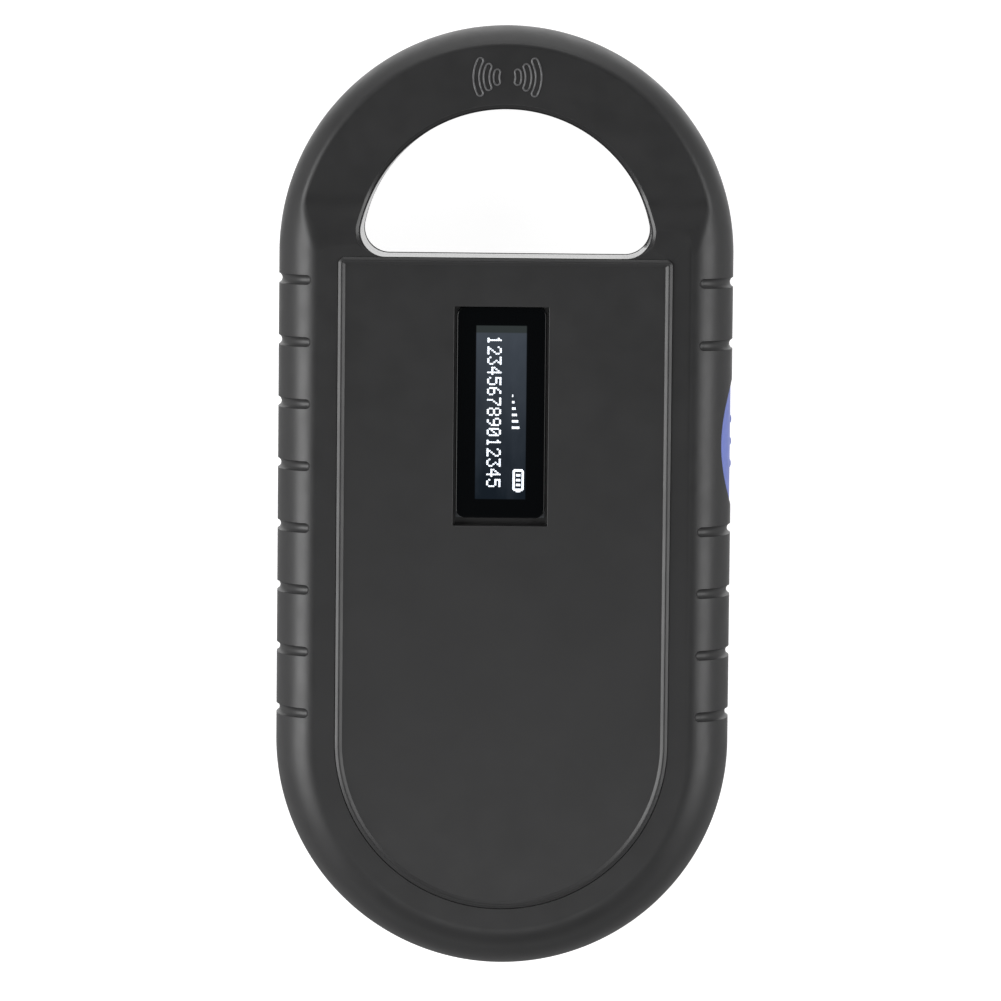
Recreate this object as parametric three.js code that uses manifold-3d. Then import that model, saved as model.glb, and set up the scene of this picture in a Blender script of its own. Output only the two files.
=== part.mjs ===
// Handheld microchip scanner: a flat two-shell body with a D-shaped antenna loop at one end.
// Millimetres. +X is the button side, +Y points to the loop, +Z comes out of the display face.
// The origin lies in the plane of the flat back face, under the middle of the outline.
import * as THREE from 'three';
import { mergeVertices } from 'three/addons/utils/BufferGeometryUtils.js';
import Module from 'manifold-3d';

const wasm = await Module();
wasm.setup();

// ---- driving dimensions -------------------------------------------------------------------

const GAP = 0.3;               // clearance between neighbouring pieces

const OUTLINE_R = 31.4;        // radius of both ends of the outline, half its width
const END_Y = 33.7;            // loop centre is at +END_Y, tail centre at -END_Y
const FACE_Z = 19.6;           // front face; the back face is at 0
const MID_Z = FACE_Z / 2;      // parting plane
const SIDE_BAND = 0.6;         // height of the upright band at the parting plane
const SHOULDER = 6;            // width of the rounded shoulder, seen from the front
const WALL = 2;                // shell wall
const CEILING_Z = 16.9;        // inside of the front face
const END_STEPS = 14;          // half the facets round each end of the outline
const HOLE_STEPS = 12;
const SHOULDER_STEPS = 5;
const INSIDE_END_STEPS = 8;    // the same, for hidden surfaces
const INSIDE_SHOULDER_STEPS = 3;

const LOOP_DROP = 1.65;        // the loop's faces lie this much inside the body's faces
const RAMP_TOP_Y = 40.4;       // the loop's plane starts here
const RAMP_FOOT_Y = 33.0;      // the body's plane ends here
const RAMP_POWER = 2.2;
const RAMP_STEPS = 8;

const HOLE_R = 20.3;           // D-shaped hole of the loop
const HOLE_Y = 33.24;
const HOLE_FLAT_Y = 33.1;
const HOLE_CORNER_R = 3;
const HOLE_WALL = 1.6;

const FASCIA_HALF = 23.2;      // half width of the front fascia, and its tail radius
const FASCIA_TOP_Y = 32.45;
const FASCIA_CORNER_R = 0.8;
const FASCIA_THICK = 0.9;
const FASCIA_FLOOR_Z = 18.4;
const BEAD_WIDTH = 0.95;       // rounded bead along the fascia's edge
const BEAD_HEIGHT = 0.3;

const WINDOW = { x: -0.45, y: 11.35, width: 13.4, length: 30.6 };
const GLASS = { x: -0.45, y: 11.9, width: 12.2, length: 29, corner: 1.1, top: 19.2, thick: 0.9 };
const SUBSTRATE_THICK = 0.7;

const GROOVE_PITCH = 8.52;     // grip grooves down the sides
const GROOVE_TOP_Y = 29.8;
const GROOVE_COUNT = 8;
const GROOVE_WIDTH = 1.6;
const GROOVE_DEPTH = 0.3;
const GROOVE_INNER_X = 26.8;
const GROOVES_UNDER_BUTTON = [2, 3];

const BUTTON = { y: 8, halfLength: 8.5, halfHeight: 6.3, sink: 0.25, innerX: 25.7, flange: 0.5 };
const NUB = { pitch: 3.07, radius: 0.7, x: 30.6 };
const SWITCH_Z = MID_Z;

const BOARD = { bottom: 6.3, top: 7.9, half: 24.4, endR: 26, topY: 26.9 };
const CASE_SCREWS = [[21, 22.5], [-21, 22.5], [18, -46], [-18, -46]];
const CASE_SCREW = { bossR: 3.2, pilotR: 1.3, shankR: 1, headR: 1.9, headZ: 1, headHigh: 1.9 };
const BOARD_SCREWS = [[0, -47], [-20.5, -12], [20.5, -12]];
const BOARD_SCREW = { postR: 2.6, pilotR: 1.2, shankR: 0.9, headR: 1.7, tipZ: 3.3 };

const COIL = { inset: 2.2, width: 3.2, bottom: 7.3, top: 12.3 };
const COIL_PAD_ANGLES = [0, 45, 90, 135, 180];

const CELL = { y: -27.5, width: 24, length: 32, bottom: 9, thick: 6 };
const PORT = { width: 8.94, height: 3.2, wall: 0.3, length: 7.4, frontY: -64.5 };
const BUZZER = { x: 0, y: 14, radius: 6, bottom: 2.6, high: 3.4 };
const LABEL = { y: -19, width: 36, length: 28, corner: 2, recess: 0.7, thick: 0.3 };

// ---- finishes -----------------------------------------------------------------------------

const finish = (color, roughness, metalness = 0) =>
  new THREE.MeshStandardMaterial({ color, roughness, metalness });

const CASE_BLACK = finish(0x2e2e2f, 0.62);
const FASCIA_BLACK = finish(0x333334, 0.55);
const BUTTON_BLUE = finish(0x6f7db4, 0.5);
const GLASS_BLACK = finish(0x07090b, 0.12);
const SUBSTRATE_GREY = finish(0x30363a, 0.25);
const FOAM_BLACK = finish(0x1c1c1c, 0.95);
const FLEX_AMBER = finish(0xa8641c, 0.45);
const BOARD_GREEN = finish(0x1d5a34, 0.5);
const CHIP_BLACK = finish(0x151515, 0.55);
const TIN = finish(0xc4c6c8, 0.35, 1);
const STEEL = finish(0x8d9094, 0.32, 1);
const CERAMIC_TAN = finish(0xa98f6a, 0.6);
const LED_WHITE = finish(0xe9ead8, 0.35);
const CELL_SILVER = finish(0xb5b8bc, 0.38, 0.6);
const TAPE_WHITE = finish(0xd8d4c8, 0.8);
const PLUG_WHITE = finish(0xe4e0d2, 0.5);
const COPPER = finish(0xb4602e, 0.35, 1);
const WIRE_RED = finish(0xb01c1a, 0.5);
const WIRE_BLACK = finish(0x161616, 0.5);
const LABEL_SILVER = finish(0xb9bbbd, 0.5);

// ---- solids from geometries ---------------------------------------------------------------

function solid(geometry) {
  const bare = geometry.index ? geometry.toNonIndexed() : geometry.clone();
  bare.deleteAttribute('normal');
  bare.deleteAttribute('uv');
  const merged = mergeVertices(bare, 1e-4);
  return new wasm.Manifold(new wasm.Mesh({
    numProp: 3,
    vertProperties: new Float32Array(merged.attributes.position.array),
    triVerts: new Uint32Array(merged.index.array),
  }));
}

function geometryOf(manifold) {
  const mesh = manifold.getMesh();
  const geometry = new THREE.BufferGeometry();
  geometry.setAttribute('position', new THREE.BufferAttribute(new Float32Array(mesh.vertProperties), 3));
  geometry.setIndex(new THREE.BufferAttribute(new Uint32Array(mesh.triVerts), 1));
  return geometry;
}

const joined = (solids) => solids.reduce((whole, piece) => whole.add(piece));

// A shape in the XY plane, raised from one height to another.
function raised(shape, bottom, top, curveSegments = 12) {
  const geometry = new THREE.ExtrudeGeometry(shape, {
    depth: top - bottom, bevelEnabled: false, curveSegments,
  });
  return geometry.translate(0, 0, bottom);
}

// A shape drawn in (Y, Z), run along X.
function alongX(shape, fromX, toX, curveSegments = 12) {
  const geometry = raised(shape, fromX, toX, curveSegments);
  const axes = new THREE.Matrix4().makeBasis(
    new THREE.Vector3(0, 1, 0), new THREE.Vector3(0, 0, 1), new THREE.Vector3(1, 0, 0));
  return geometry.applyMatrix4(axes);
}

// A shape drawn in (X, Z), run along Y.
function alongY(shape, fromY, toY, curveSegments = 12) {
  const geometry = raised(shape, -toY, -fromY, curveSegments);
  return geometry.rotateX(Math.PI / 2);
}

function block(width, length, high, x, y, bottom) {
  return new THREE.BoxGeometry(width, length, high).translate(x, y, bottom + high / 2);
}

function drum(radius, bottom, top, x, y, facets = 16) {
  const geometry = new THREE.CylinderGeometry(radius, radius, top - bottom, facets);
  return geometry.rotateX(Math.PI / 2).translate(x, y, (top + bottom) / 2);
}

function wire(points, radius, steps) {
  const section = new THREE.Shape().absarc(0, 0, radius, 0, 2 * Math.PI);
  const path = new THREE.CatmullRomCurve3(points.map((p) => new THREE.Vector3(...p)));
  return new THREE.ExtrudeGeometry(section, { extrudePath: path, steps, curveSegments: 4 });
}

// ---- outlines -----------------------------------------------------------------------------

function outline(radius) {
  const shape = new THREE.Shape();
  shape.absarc(0, END_Y, radius, 0, Math.PI);
  shape.absarc(0, -END_Y, radius, Math.PI, 2 * Math.PI);
  return shape;
}

function roundedBox(width, length, corner, x = 0, y = 0) {
  const [right, top] = [x + width / 2, y + length / 2];
  const [left, low] = [x - width / 2, y - length / 2];
  const shape = new THREE.Shape();
  shape.absarc(right - corner, low + corner, corner, -Math.PI / 2, 0);
  shape.absarc(right - corner, top - corner, corner, 0, Math.PI / 2);
  shape.absarc(left + corner, top - corner, corner, Math.PI / 2, Math.PI);
  shape.absarc(left + corner, low + corner, corner, Math.PI, 1.5 * Math.PI);
  return shape;
}

function ellipse(x, y, halfX, halfY) {
  return new THREE.Shape().absellipse(x, y, halfX, halfY, 0, 2 * Math.PI);
}

// The D of the loop's hole, grown outwards: a large arc closed by a chord with rounded corners.
function dShape(grow) {
  const radius = HOLE_R + grow;
  const corner = HOLE_CORNER_R + grow;
  const cornerY = HOLE_FLAT_Y - grow + corner;
  const cornerX = Math.sqrt((radius - corner) ** 2 - (cornerY - HOLE_Y) ** 2);
  const meet = Math.atan2(cornerY - HOLE_Y, cornerX);
  const shape = new THREE.Shape();
  shape.absarc(cornerX, cornerY, corner, -Math.PI / 2, meet);
  shape.absarc(0, HOLE_Y, radius, meet, Math.PI - meet);
  shape.absarc(-cornerX, cornerY, corner, Math.PI - meet, 1.5 * Math.PI);
  return shape;
}

// Straight sides, a square-ish top and a half-round tail.
function fasciaShape(half, topY, corner) {
  const shape = new THREE.Shape();
  shape.absarc(0, -END_Y, half, Math.PI, 2 * Math.PI);
  shape.absarc(half - corner, topY - corner, corner, 0, Math.PI / 2);
  shape.absarc(corner - half, topY - corner, corner, Math.PI / 2, Math.PI);
  return shape;
}

// ---- the case -----------------------------------------------------------------------------

// The body with rounded shoulders, shrunk by a distance all round.
function pebble(shrink, curveSegments = END_STEPS, bevelSegments = SHOULDER_STEPS) {
  const geometry = new THREE.ExtrudeGeometry(outline(OUTLINE_R - SHOULDER), {
    depth: SIDE_BAND,
    bevelThickness: MID_Z - SIDE_BAND / 2 - shrink,
    bevelSize: SHOULDER - shrink,
    bevelSegments,
    curveSegments,
  });
  return solid(geometry.translate(0, 0, MID_Z - SIDE_BAND / 2));
}

// Height by which the face drops towards the loop.
function drop(y) {
  const t = Math.min(Math.max((RAMP_TOP_Y - y) / (RAMP_TOP_Y - RAMP_FOOT_Y), 0), 1);
  return LOOP_DROP * (1 - t) ** RAMP_POWER;
}

// What is cut away over the loop, in front (side = 1) or behind (side = -1), down to a skin.
function loopCut(side, skin) {
  const far = END_Y + 2 * OUTLINE_R;
  const level = (y) => MID_Z + side * (MID_Z - drop(y) - skin);
  const away = MID_Z + side * 2 * MID_Z;
  const shape = new THREE.Shape();
  shape.moveTo(RAMP_FOOT_Y, away);
  for (let i = 0; i <= RAMP_STEPS; i += 1) {
    const y = RAMP_FOOT_Y + (i / RAMP_STEPS) * (RAMP_TOP_Y - RAMP_FOOT_Y);
    shape.lineTo(y, level(y));
  }
  shape.lineTo(far, level(far));
  shape.lineTo(far, away);
  return solid(alongX(shape, -2 * OUTLINE_R, 2 * OUTLINE_R));
}

function grooveCuts() {
  const outside = solid(raised(outline(OUTLINE_R + 2), -2, FACE_Z + 2, END_STEPS));
  const skin = outside.subtract(pebble(GROOVE_DEPTH));
  const reach = OUTLINE_R + 3 - GROOVE_INNER_X;
  const bars = [];
  for (let i = 0; i < GROOVE_COUNT; i += 1) {
    const y = GROOVE_TOP_Y - i * GROOVE_PITCH;
    const sides = GROOVES_UNDER_BUTTON.includes(i) ? [-1] : [-1, 1];
    for (const side of sides) {
      const x = side * (GROOVE_INNER_X + reach / 2);
      bars.push(solid(block(reach, GROOVE_WIDTH, FACE_Z + 2, x, y, -1)));
    }
  }
  return skin.intersect(joined(bars));
}

function cavity() {
  const inside = pebble(WALL, INSIDE_END_STEPS, INSIDE_SHOULDER_STEPS)
    .intersect(solid(block(80, 160, CEILING_Z, 0, 0, 0)));
  return inside
    .subtract(loopCut(1, WALL))
    .subtract(loopCut(-1, WALL))
    .subtract(solid(raised(dShape(HOLE_WALL), -1, FACE_Z + 1, INSIDE_END_STEPS)));
}

const buttonHole = () => solid(alongX(
  ellipse(BUTTON.y, MID_Z, BUTTON.halfLength + GAP, BUTTON.halfHeight + GAP), 27, OUTLINE_R + 1, 16));

function portHole() {
  const width = PORT.width + 2 * GAP;
  const high = PORT.height + 2 * GAP;
  const mouth = roundedBox(width, high, high / 2 - 0.01, 0, MID_Z);
  return solid(alongY(mouth, -END_Y - OUTLINE_R - 1, -END_Y - OUTLINE_R + 4, 8));
}

function casing() {
  return pebble(0)
    .subtract(loopCut(1, 0))
    .subtract(loopCut(-1, 0))
    .subtract(solid(raised(dShape(0), -1, FACE_Z + 1, HOLE_STEPS)))
    .subtract(cavity())
    .subtract(grooveCuts())
    .subtract(buttonHole())
    .subtract(portHole());
}

// Raised radio waves on the loop: three arcs to the left and three to the right.
function waveMarks() {
  const markY = END_Y + 24.2;
  const base = FACE_Z - LOOP_DROP;
  const marks = [];
  for (const radius of [1.6, 3, 4.4]) {
    const spread = radius === 1.6 ? 0.82 : 0.62;
    for (const middle of [0, Math.PI]) {
      const shape = new THREE.Shape();
      shape.absarc(0, markY, radius + 0.3, middle - spread, middle + spread);
      shape.absarc(0, markY, radius - 0.3, middle + spread, middle - spread, true);
      marks.push(solid(raised(shape, base - 0.2, base + 0.2, 6)));
    }
  }
  return joined(marks);
}

function frontShell(whole) {
  const top = MID_Z + GAP / 2;
  const upper = whole.intersect(solid(block(80, 160, FACE_Z, 0, 0, top)));
  const bosses = CASE_SCREWS.map(([x, y]) => solid(drum(CASE_SCREW.bossR, top, CEILING_Z + 0.5, x, y)));
  const pilots = CASE_SCREWS.map(([x, y]) => solid(drum(CASE_SCREW.pilotR, top - 1, 15.5, x, y, 10)));
  const seat = raised(
    fasciaShape(FASCIA_HALF + GAP, FASCIA_TOP_Y + GAP, FASCIA_CORNER_R + GAP), FASCIA_FLOOR_Z, FACE_Z + 1, END_STEPS);
  return geometryOf(joined([upper, waveMarks(), ...bosses])
    .subtract(joined(pilots))
    .subtract(solid(seat))
    .subtract(solid(block(GLASS.width + 2 * GAP, GLASS.length + 2 * GAP, 6, GLASS.x, GLASS.y, CEILING_Z - 1))));
}

function soundHoles() {
  const holes = [solid(drum(0.6, -1, WALL + 1, BUZZER.x, BUZZER.y, 10))];
  for (let i = 0; i < 6; i += 1) {
    const angle = (i * Math.PI) / 3;
    const x = BUZZER.x + 2.4 * Math.cos(angle);
    const y = BUZZER.y + 2.4 * Math.sin(angle);
    holes.push(solid(drum(0.6, -1, WALL + 1, x, y, 10)));
  }
  return joined(holes);
}

function backShell(whole) {
  const top = MID_Z - GAP / 2;
  const floor = WALL - 0.3;
  const lower = whole.intersect(solid(block(80, 160, top, 0, 0, 0)));
  const bosses = CASE_SCREWS.map(([x, y]) => solid(drum(CASE_SCREW.bossR, floor, top, x, y)));
  const posts = BOARD_SCREWS.map(([x, y]) => solid(drum(BOARD_SCREW.postR, floor, BOARD.bottom - GAP, x, y)));
  const wells = CASE_SCREWS.map(([x, y]) => solid(drum(CASE_SCREW.headR + GAP, -1, 3.2, x, y)));
  const holes = CASE_SCREWS.map(([x, y]) => solid(drum(CASE_SCREW.pilotR, 0, top + 1, x, y, 10)));
  const pilots = BOARD_SCREWS.map(([x, y]) => solid(drum(BOARD_SCREW.pilotR, 3, 7, x, y, 10)));
  const labelSeat = raised(
    roundedBox(LABEL.width + 2 * GAP, LABEL.length + 2 * GAP, LABEL.corner, 0, LABEL.y), -1, LABEL.recess, 4);
  return geometryOf(joined([lower, ...bosses, ...posts])
    .subtract(joined([...wells, ...holes, ...pilots, soundHoles(), solid(labelSeat)])));
}

function frontFascia() {
  const bottom = FACE_Z - FASCIA_THICK;
  const outer = fasciaShape(FASCIA_HALF, FASCIA_TOP_Y, FASCIA_CORNER_R);
  const plate = solid(raised(outer, bottom, FACE_Z, END_STEPS));
  const bead = fasciaShape(FASCIA_HALF - 0.1, FASCIA_TOP_Y - 0.1, FASCIA_CORNER_R);
  bead.holes.push(fasciaShape(FASCIA_HALF - BEAD_WIDTH, FASCIA_TOP_Y - BEAD_WIDTH, 0.3));
  const window = solid(block(WINDOW.width, WINDOW.length, 4, WINDOW.x, WINDOW.y, bottom - 1));
  return geometryOf(plate
    .add(solid(raised(bead, FACE_Z - 0.3, FACE_Z + BEAD_HEIGHT, END_STEPS)))
    .subtract(window));
}

// ---- display ------------------------------------------------------------------------------

const displayGlass = () => raised(
  roundedBox(GLASS.width, GLASS.length, GLASS.corner, GLASS.x, GLASS.y),
  GLASS.top - GLASS.thick, GLASS.top, 5);

const substrateTop = GLASS.top - GLASS.thick - GAP;
const substrateBottom = substrateTop - SUBSTRATE_THICK;
const substrateLowY = GLASS.y - GLASS.length / 2;

const displaySubstrate = () => block(
  GLASS.width, GLASS.length, SUBSTRATE_THICK, GLASS.x, GLASS.y, substrateBottom);

function displayFoam() {
  const bottom = BOARD.top + GAP;
  const top = substrateBottom - GAP;
  return raised(roundedBox(11, 24, 1, GLASS.x, 12.2), bottom, top, 3);
}

// A thin ribbon that leaves the substrate's end and curls down to its socket on the board.
function displayFlex() {
  const thick = 0.2;
  const start = substrateBottom - GAP - thick;
  const foot = BOARD.top + GAP + 1.35;
  const points = [
    [substrateLowY + 2.6, start], [substrateLowY + 1.2, start], [substrateLowY - 0.6, start - 0.7],
    [substrateLowY - 1.7, start - 2.2], [substrateLowY - 1.6, (start + foot) / 2], [substrateLowY - 1.5, foot + 1.4],
    [substrateLowY - 2.8, foot + 0.1], [substrateLowY - 4.4, foot],
  ];
  const path = new THREE.CatmullRomCurve3(points.map(([y, z]) => new THREE.Vector3(GLASS.x, y, z)));
  const section = new THREE.Shape();
  section.moveTo(-4, -thick / 2);
  section.lineTo(4, -thick / 2);
  section.lineTo(4, thick / 2);
  section.lineTo(-4, thick / 2);
  return new THREE.ExtrudeGeometry(section, { extrudePath: path, steps: 20 });
}

const flexSocket = () => block(10, 3.2, 1.0, GLASS.x, substrateLowY - 3.5, BOARD.top + GAP - 0.1);

// ---- board and its parts ------------------------------------------------------------------

function mainBoard() {
  const shape = new THREE.Shape();
  const lean = Math.acos(BOARD.half / BOARD.endR);
  shape.absarc(0, -END_Y, BOARD.endR, Math.PI + lean, 2 * Math.PI - lean);
  shape.absarc(BOARD.half - 2, BOARD.topY - 2, 2, 0, Math.PI / 2);
  shape.absarc(2 - BOARD.half, BOARD.topY - 2, 2, Math.PI / 2, Math.PI);
  const blank = solid(raised(shape, BOARD.bottom, BOARD.top, 8));
  const around = CASE_SCREWS.map(([x, y]) => solid(drum(CASE_SCREW.bossR + 0.4, 5, 9, x, y)));
  const screws = BOARD_SCREWS.map(([x, y]) => solid(drum(BOARD_SCREW.pilotR, 5, 9, x, y, 10)));
  return geometryOf(blank.subtract(joined([...around, ...screws])));
}

// A moulded chip body with a chamfered top.
function chip(width, length, high, x, y) {
  const edge = 0.25;
  return new THREE.ExtrudeGeometry(roundedBox(width - 2 * edge, length - 2 * edge, 0.1, x, y), {
    depth: high - 2 * edge, bevelThickness: edge, bevelSize: edge, bevelSegments: 1, curveSegments: 1,
  }).translate(0, 0, BOARD.top + GAP + edge);
}

const onBoard = (width, length, high, x, y) => block(width, length, high, x, y, BOARD.top + GAP);

const buzzer = () => drum(BUZZER.radius, BUZZER.bottom, BUZZER.bottom + BUZZER.high, BUZZER.x, BUZZER.y, 32);

function screw(x, y, headLow, headHigh, headR, shankR, shankEnd) {
  const up = shankEnd > headHigh;
  const edge = 0.3;
  const near = up ? headLow : headHigh;
  const far = up ? headHigh : headLow;
  const step = up ? edge : -edge;
  const socket = (far + near) / 2;
  const profile = [
    [0, socket], [0.7, socket], [0.7, near], [headR - edge, near], [headR, near + step],
    [headR, far], [shankR, far], [shankR, shankEnd - step], [shankR - edge, shankEnd], [0, shankEnd],
  ];
  const points = (up ? profile : profile.reverse()).map(([r, z]) => new THREE.Vector2(r, z));
  return new THREE.LatheGeometry(points, 10).rotateX(Math.PI / 2).translate(x, y, 0);
}

const caseScrew = ([x, y]) => screw(
  x, y, CASE_SCREW.headZ, CASE_SCREW.headZ + CASE_SCREW.headHigh, CASE_SCREW.headR, CASE_SCREW.shankR, 15);

const boardScrew = ([x, y]) => screw(
  x, y, BOARD.top + GAP, BOARD.top + GAP + 1.3, BOARD_SCREW.headR, BOARD_SCREW.shankR, BOARD_SCREW.tipZ);

// ---- antenna ------------------------------------------------------------------------------

function antennaCoil() {
  const shape = dShape(COIL.inset + COIL.width);
  shape.holes.push(dShape(COIL.inset));
  return raised(shape, COIL.bottom, COIL.top, HOLE_STEPS);
}

function antennaLead(x) {
  const startY = HOLE_FLAT_Y - COIL.inset - COIL.width - GAP;
  const land = BOARD.top + GAP + 0.35;
  return wire([
    [x, startY, MID_Z], [x, startY - 1, MID_Z], [x * 1.3, startY - 1.8, MID_Z - 0.7],
    [x * 1.7, startY - 2.1, land], [x * 2.2, startY - 2.1, land],
  ], 0.35, 12);
}

function coilPad(degrees) {
  const angle = (degrees * Math.PI) / 180;
  const middle = HOLE_R + COIL.inset + COIL.width / 2;
  const bottom = LOOP_DROP + WALL + GAP;
  const pad = new THREE.BoxGeometry(COIL.width, 6, COIL.bottom - GAP - bottom);
  pad.rotateZ(angle);
  const y = HOLE_Y + 4 * (degrees % 180 === 0) + middle * Math.sin(angle);
  return pad.translate(middle * Math.cos(angle) * (degrees % 180 === 0 ? 0.985 : 1), y,
    (COIL.bottom - GAP + bottom) / 2);
}

// ---- switch and button --------------------------------------------------------------------

const switchFace = BUTTON.innerX - GAP - 1.5;

function switchBase() {
  const high = 2 * (SWITCH_Z - BOARD.top - GAP);
  return block(2.6, 6, high, switchFace - 1.3 - 0.9, BUTTON.y, BOARD.top + GAP);
}

function switchCover() {
  const high = 2 * (SWITCH_Z - BOARD.top - GAP);
  const plate = solid(block(0.3, 6, high, switchFace - 0.45, BUTTON.y, BOARD.top + GAP));
  const bore = solid(alongX(ellipse(BUTTON.y, SWITCH_Z, 1.3, 1.3), switchFace - 2, switchFace + 1, 10));
  return geometryOf(plate.subtract(bore));
}

const switchPlunger = () => alongX(
  ellipse(BUTTON.y, SWITCH_Z, 0.95, 0.95), switchFace - 0.15, BUTTON.innerX - GAP, 10);

function scanButton() {
  const { y, halfLength, halfHeight, sink, innerX, flange } = BUTTON;
  const stem = solid(alongX(ellipse(y, MID_Z, halfLength, halfHeight), innerX, OUTLINE_R + 1, 16));
  const lip = solid(alongX(ellipse(y, MID_Z, halfLength + flange, halfHeight + flange), innerX, innerX + 1, 16));
  const nubs = [-1, 0, 1].map((i) => solid(
    new THREE.SphereGeometry(NUB.radius, 12, 8).translate(NUB.x, y + i * NUB.pitch, MID_Z)));
  return geometryOf(joined([stem.intersect(pebble(sink, INSIDE_END_STEPS)), lip, ...nubs]));
}

// ---- battery ------------------------------------------------------------------------------

function batteryCell() {
  const round = 1.2;
  return new THREE.ExtrudeGeometry(
    roundedBox(CELL.width - 2 * round, CELL.length - 2 * round, 0.8, 0, CELL.y), {
      depth: CELL.thick - 2 * round, bevelThickness: round, bevelSize: round, bevelSegments: 2, curveSegments: 2,
    }).translate(0, 0, CELL.bottom + round);
}

const batteryTape = () => block(18, 24, 0.4, 0, CELL.y, BOARD.top + GAP);

const SOCKET = { x: 16.6, y: -33 };

function batterySocket() {
  const body = solid(onBoard(5, 4.6, 3.6, SOCKET.x, SOCKET.y));
  const mouth = solid(block(3.8, 4.6, 2.2, SOCKET.x, SOCKET.y + 1, BOARD.top + GAP + 0.7));
  return geometryOf(body.subtract(mouth));
}

const batteryPlug = () => block(3.2, 4.4, 1.6, SOCKET.x, SOCKET.y + 1.2, BOARD.top + GAP + 1);

// side is 1 for the red lead, which takes the outer way round, and -1 for the black one.
function batteryLead(side) {
  const x = SOCKET.x + 0.8 * side;
  const z = BOARD.top + GAP + 1.8;
  const landX = 6 - 2.2 * side;
  const landZ = CELL.bottom + CELL.thick / 2;
  const plugEnd = SOCKET.y + 3.4 + GAP;
  const cellEnd = CELL.y + CELL.length / 2 + GAP;
  const reach = 2.5 + 0.9 * side;
  return wire([
    [x, plugEnd, z], [x, plugEnd + 3, z], [x, cellEnd - 4, z + 1.2], [x - 1.2, cellEnd + 0.6 * reach, landZ],
    [landX + 2.4, cellEnd + reach, landZ], [landX, cellEnd + 0.5 * reach, landZ], [landX, cellEnd, landZ],
  ], 0.45, 24);
}

// ---- charging socket ----------------------------------------------------------------------

const portZ = BOARD.top + GAP + PORT.height / 2;

function usbShell() {
  const outer = roundedBox(PORT.width, PORT.height, PORT.height / 2 - 0.05, 0, portZ);
  outer.holes.push(roundedBox(
    PORT.width - 2 * PORT.wall, PORT.height - 2 * PORT.wall, PORT.height / 2 - PORT.wall - 0.05, 0, portZ));
  return alongY(outer, PORT.frontY, PORT.frontY + PORT.length, 4);
}

function usbTongue() {
  const rear = PORT.frontY + PORT.length;
  const insideHigh = PORT.height - 2 * PORT.wall - 2 * GAP;
  const insideWide = PORT.width - 2 * PORT.wall - 2 * GAP;
  const carrier = roundedBox(insideWide, insideHigh, insideHigh / 2 - 0.05, 0, portZ);
  const root = solid(alongY(carrier, rear - 2, rear, 4));
  const blade = solid(new THREE.BoxGeometry(6.4, 5.4, 0.7).translate(0, rear - 1.6 - 2.7, portZ));
  return geometryOf(root.add(blade));
}

const rearLabel = () => raised(
  roundedBox(LABEL.width, LABEL.length, LABEL.corner - GAP, 0, LABEL.y), 0.1, 0.1 + LABEL.thick, 4);

// ---- assembly -----------------------------------------------------------------------------

const scanner = new THREE.Group();

function place(name, geometry, material) {
  const mesh = new THREE.Mesh(geometry, material);
  mesh.name = name;
  scanner.add(mesh);
}

const whole = casing();
place('front_shell', frontShell(whole), CASE_BLACK);
place('back_shell', backShell(whole), CASE_BLACK);
place('front_fascia', frontFascia(), FASCIA_BLACK);
place('rear_label', rearLabel(), LABEL_SILVER);
place('display_glass', displayGlass(), GLASS_BLACK);
place('display_substrate', displaySubstrate(), SUBSTRATE_GREY);
place('display_foam', displayFoam(), FOAM_BLACK);
place('display_flex', displayFlex(), FLEX_AMBER);
place('flex_socket', flexSocket(), PLUG_WHITE);
place('main_pcb', mainBoard(), BOARD_GREEN);
place('microcontroller', chip(7, 7, 1.4, -14.5, 12), CHIP_BLACK);
place('reader_chip', chip(4, 9, 1.5, 14.5, 18), CHIP_BLACK);
place('charge_chip', chip(3, 3, 1.1, 12, -50), CHIP_BLACK);
place('memory_chip', chip(4, 5, 1.4, -14.5, 0), CHIP_BLACK);
place('crystal', onBoard(2.5, 3.2, 0.8, -14.5, 19), TIN);
place('tuning_capacitor_1', onBoard(2.5, 3.2, 1.6, 10.4, 24.4), CERAMIC_TAN);
place('tuning_capacitor_2', onBoard(2.5, 3.2, 1.6, -10.4, 24.4), CERAMIC_TAN);
place('power_inductor', onBoard(4, 4, 2, -10, -50), CHIP_BLACK);
place('status_led', onBoard(1.6, 0.8, 0.7, -18, 3), LED_WHITE);
place('buzzer', buzzer(), CHIP_BLACK);
place('antenna_coil', antennaCoil(), COPPER);
place('antenna_lead_1', antennaLead(3), COPPER);
place('antenna_lead_2', antennaLead(-3), COPPER);
COIL_PAD_ANGLES.forEach((degrees, i) => place(`coil_pad_${i + 1}`, coilPad(degrees), FOAM_BLACK));
place('switch_base', switchBase(), CHIP_BLACK);
place('switch_cover', switchCover(), STEEL);
place('switch_plunger', switchPlunger(), LED_WHITE);
place('scan_button', scanButton(), BUTTON_BLUE);
place('battery_cell', batteryCell(), CELL_SILVER);
place('battery_tape', batteryTape(), TAPE_WHITE);
place('battery_socket', batterySocket(), PLUG_WHITE);
place('battery_plug', batteryPlug(), PLUG_WHITE);
place('battery_lead_red', batteryLead(1), WIRE_RED);
place('battery_lead_black', batteryLead(-1), WIRE_BLACK);
place('usb_shell', usbShell(), STEEL);
place('usb_tongue', usbTongue(), CHIP_BLACK);
CASE_SCREWS.forEach((spot, i) => place(`case_screw_${i + 1}`, caseScrew(spot), STEEL));
BOARD_SCREWS.forEach((spot, i) => place(`pcb_screw_${i + 1}`, boardScrew(spot), STEEL));

export default scanner;
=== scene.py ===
"""Pocket microchip scanner: the looks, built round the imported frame. Metres, +Z out of the display."""
import math

import bmesh
import bpy
from mathutils import Matrix, Vector


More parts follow.
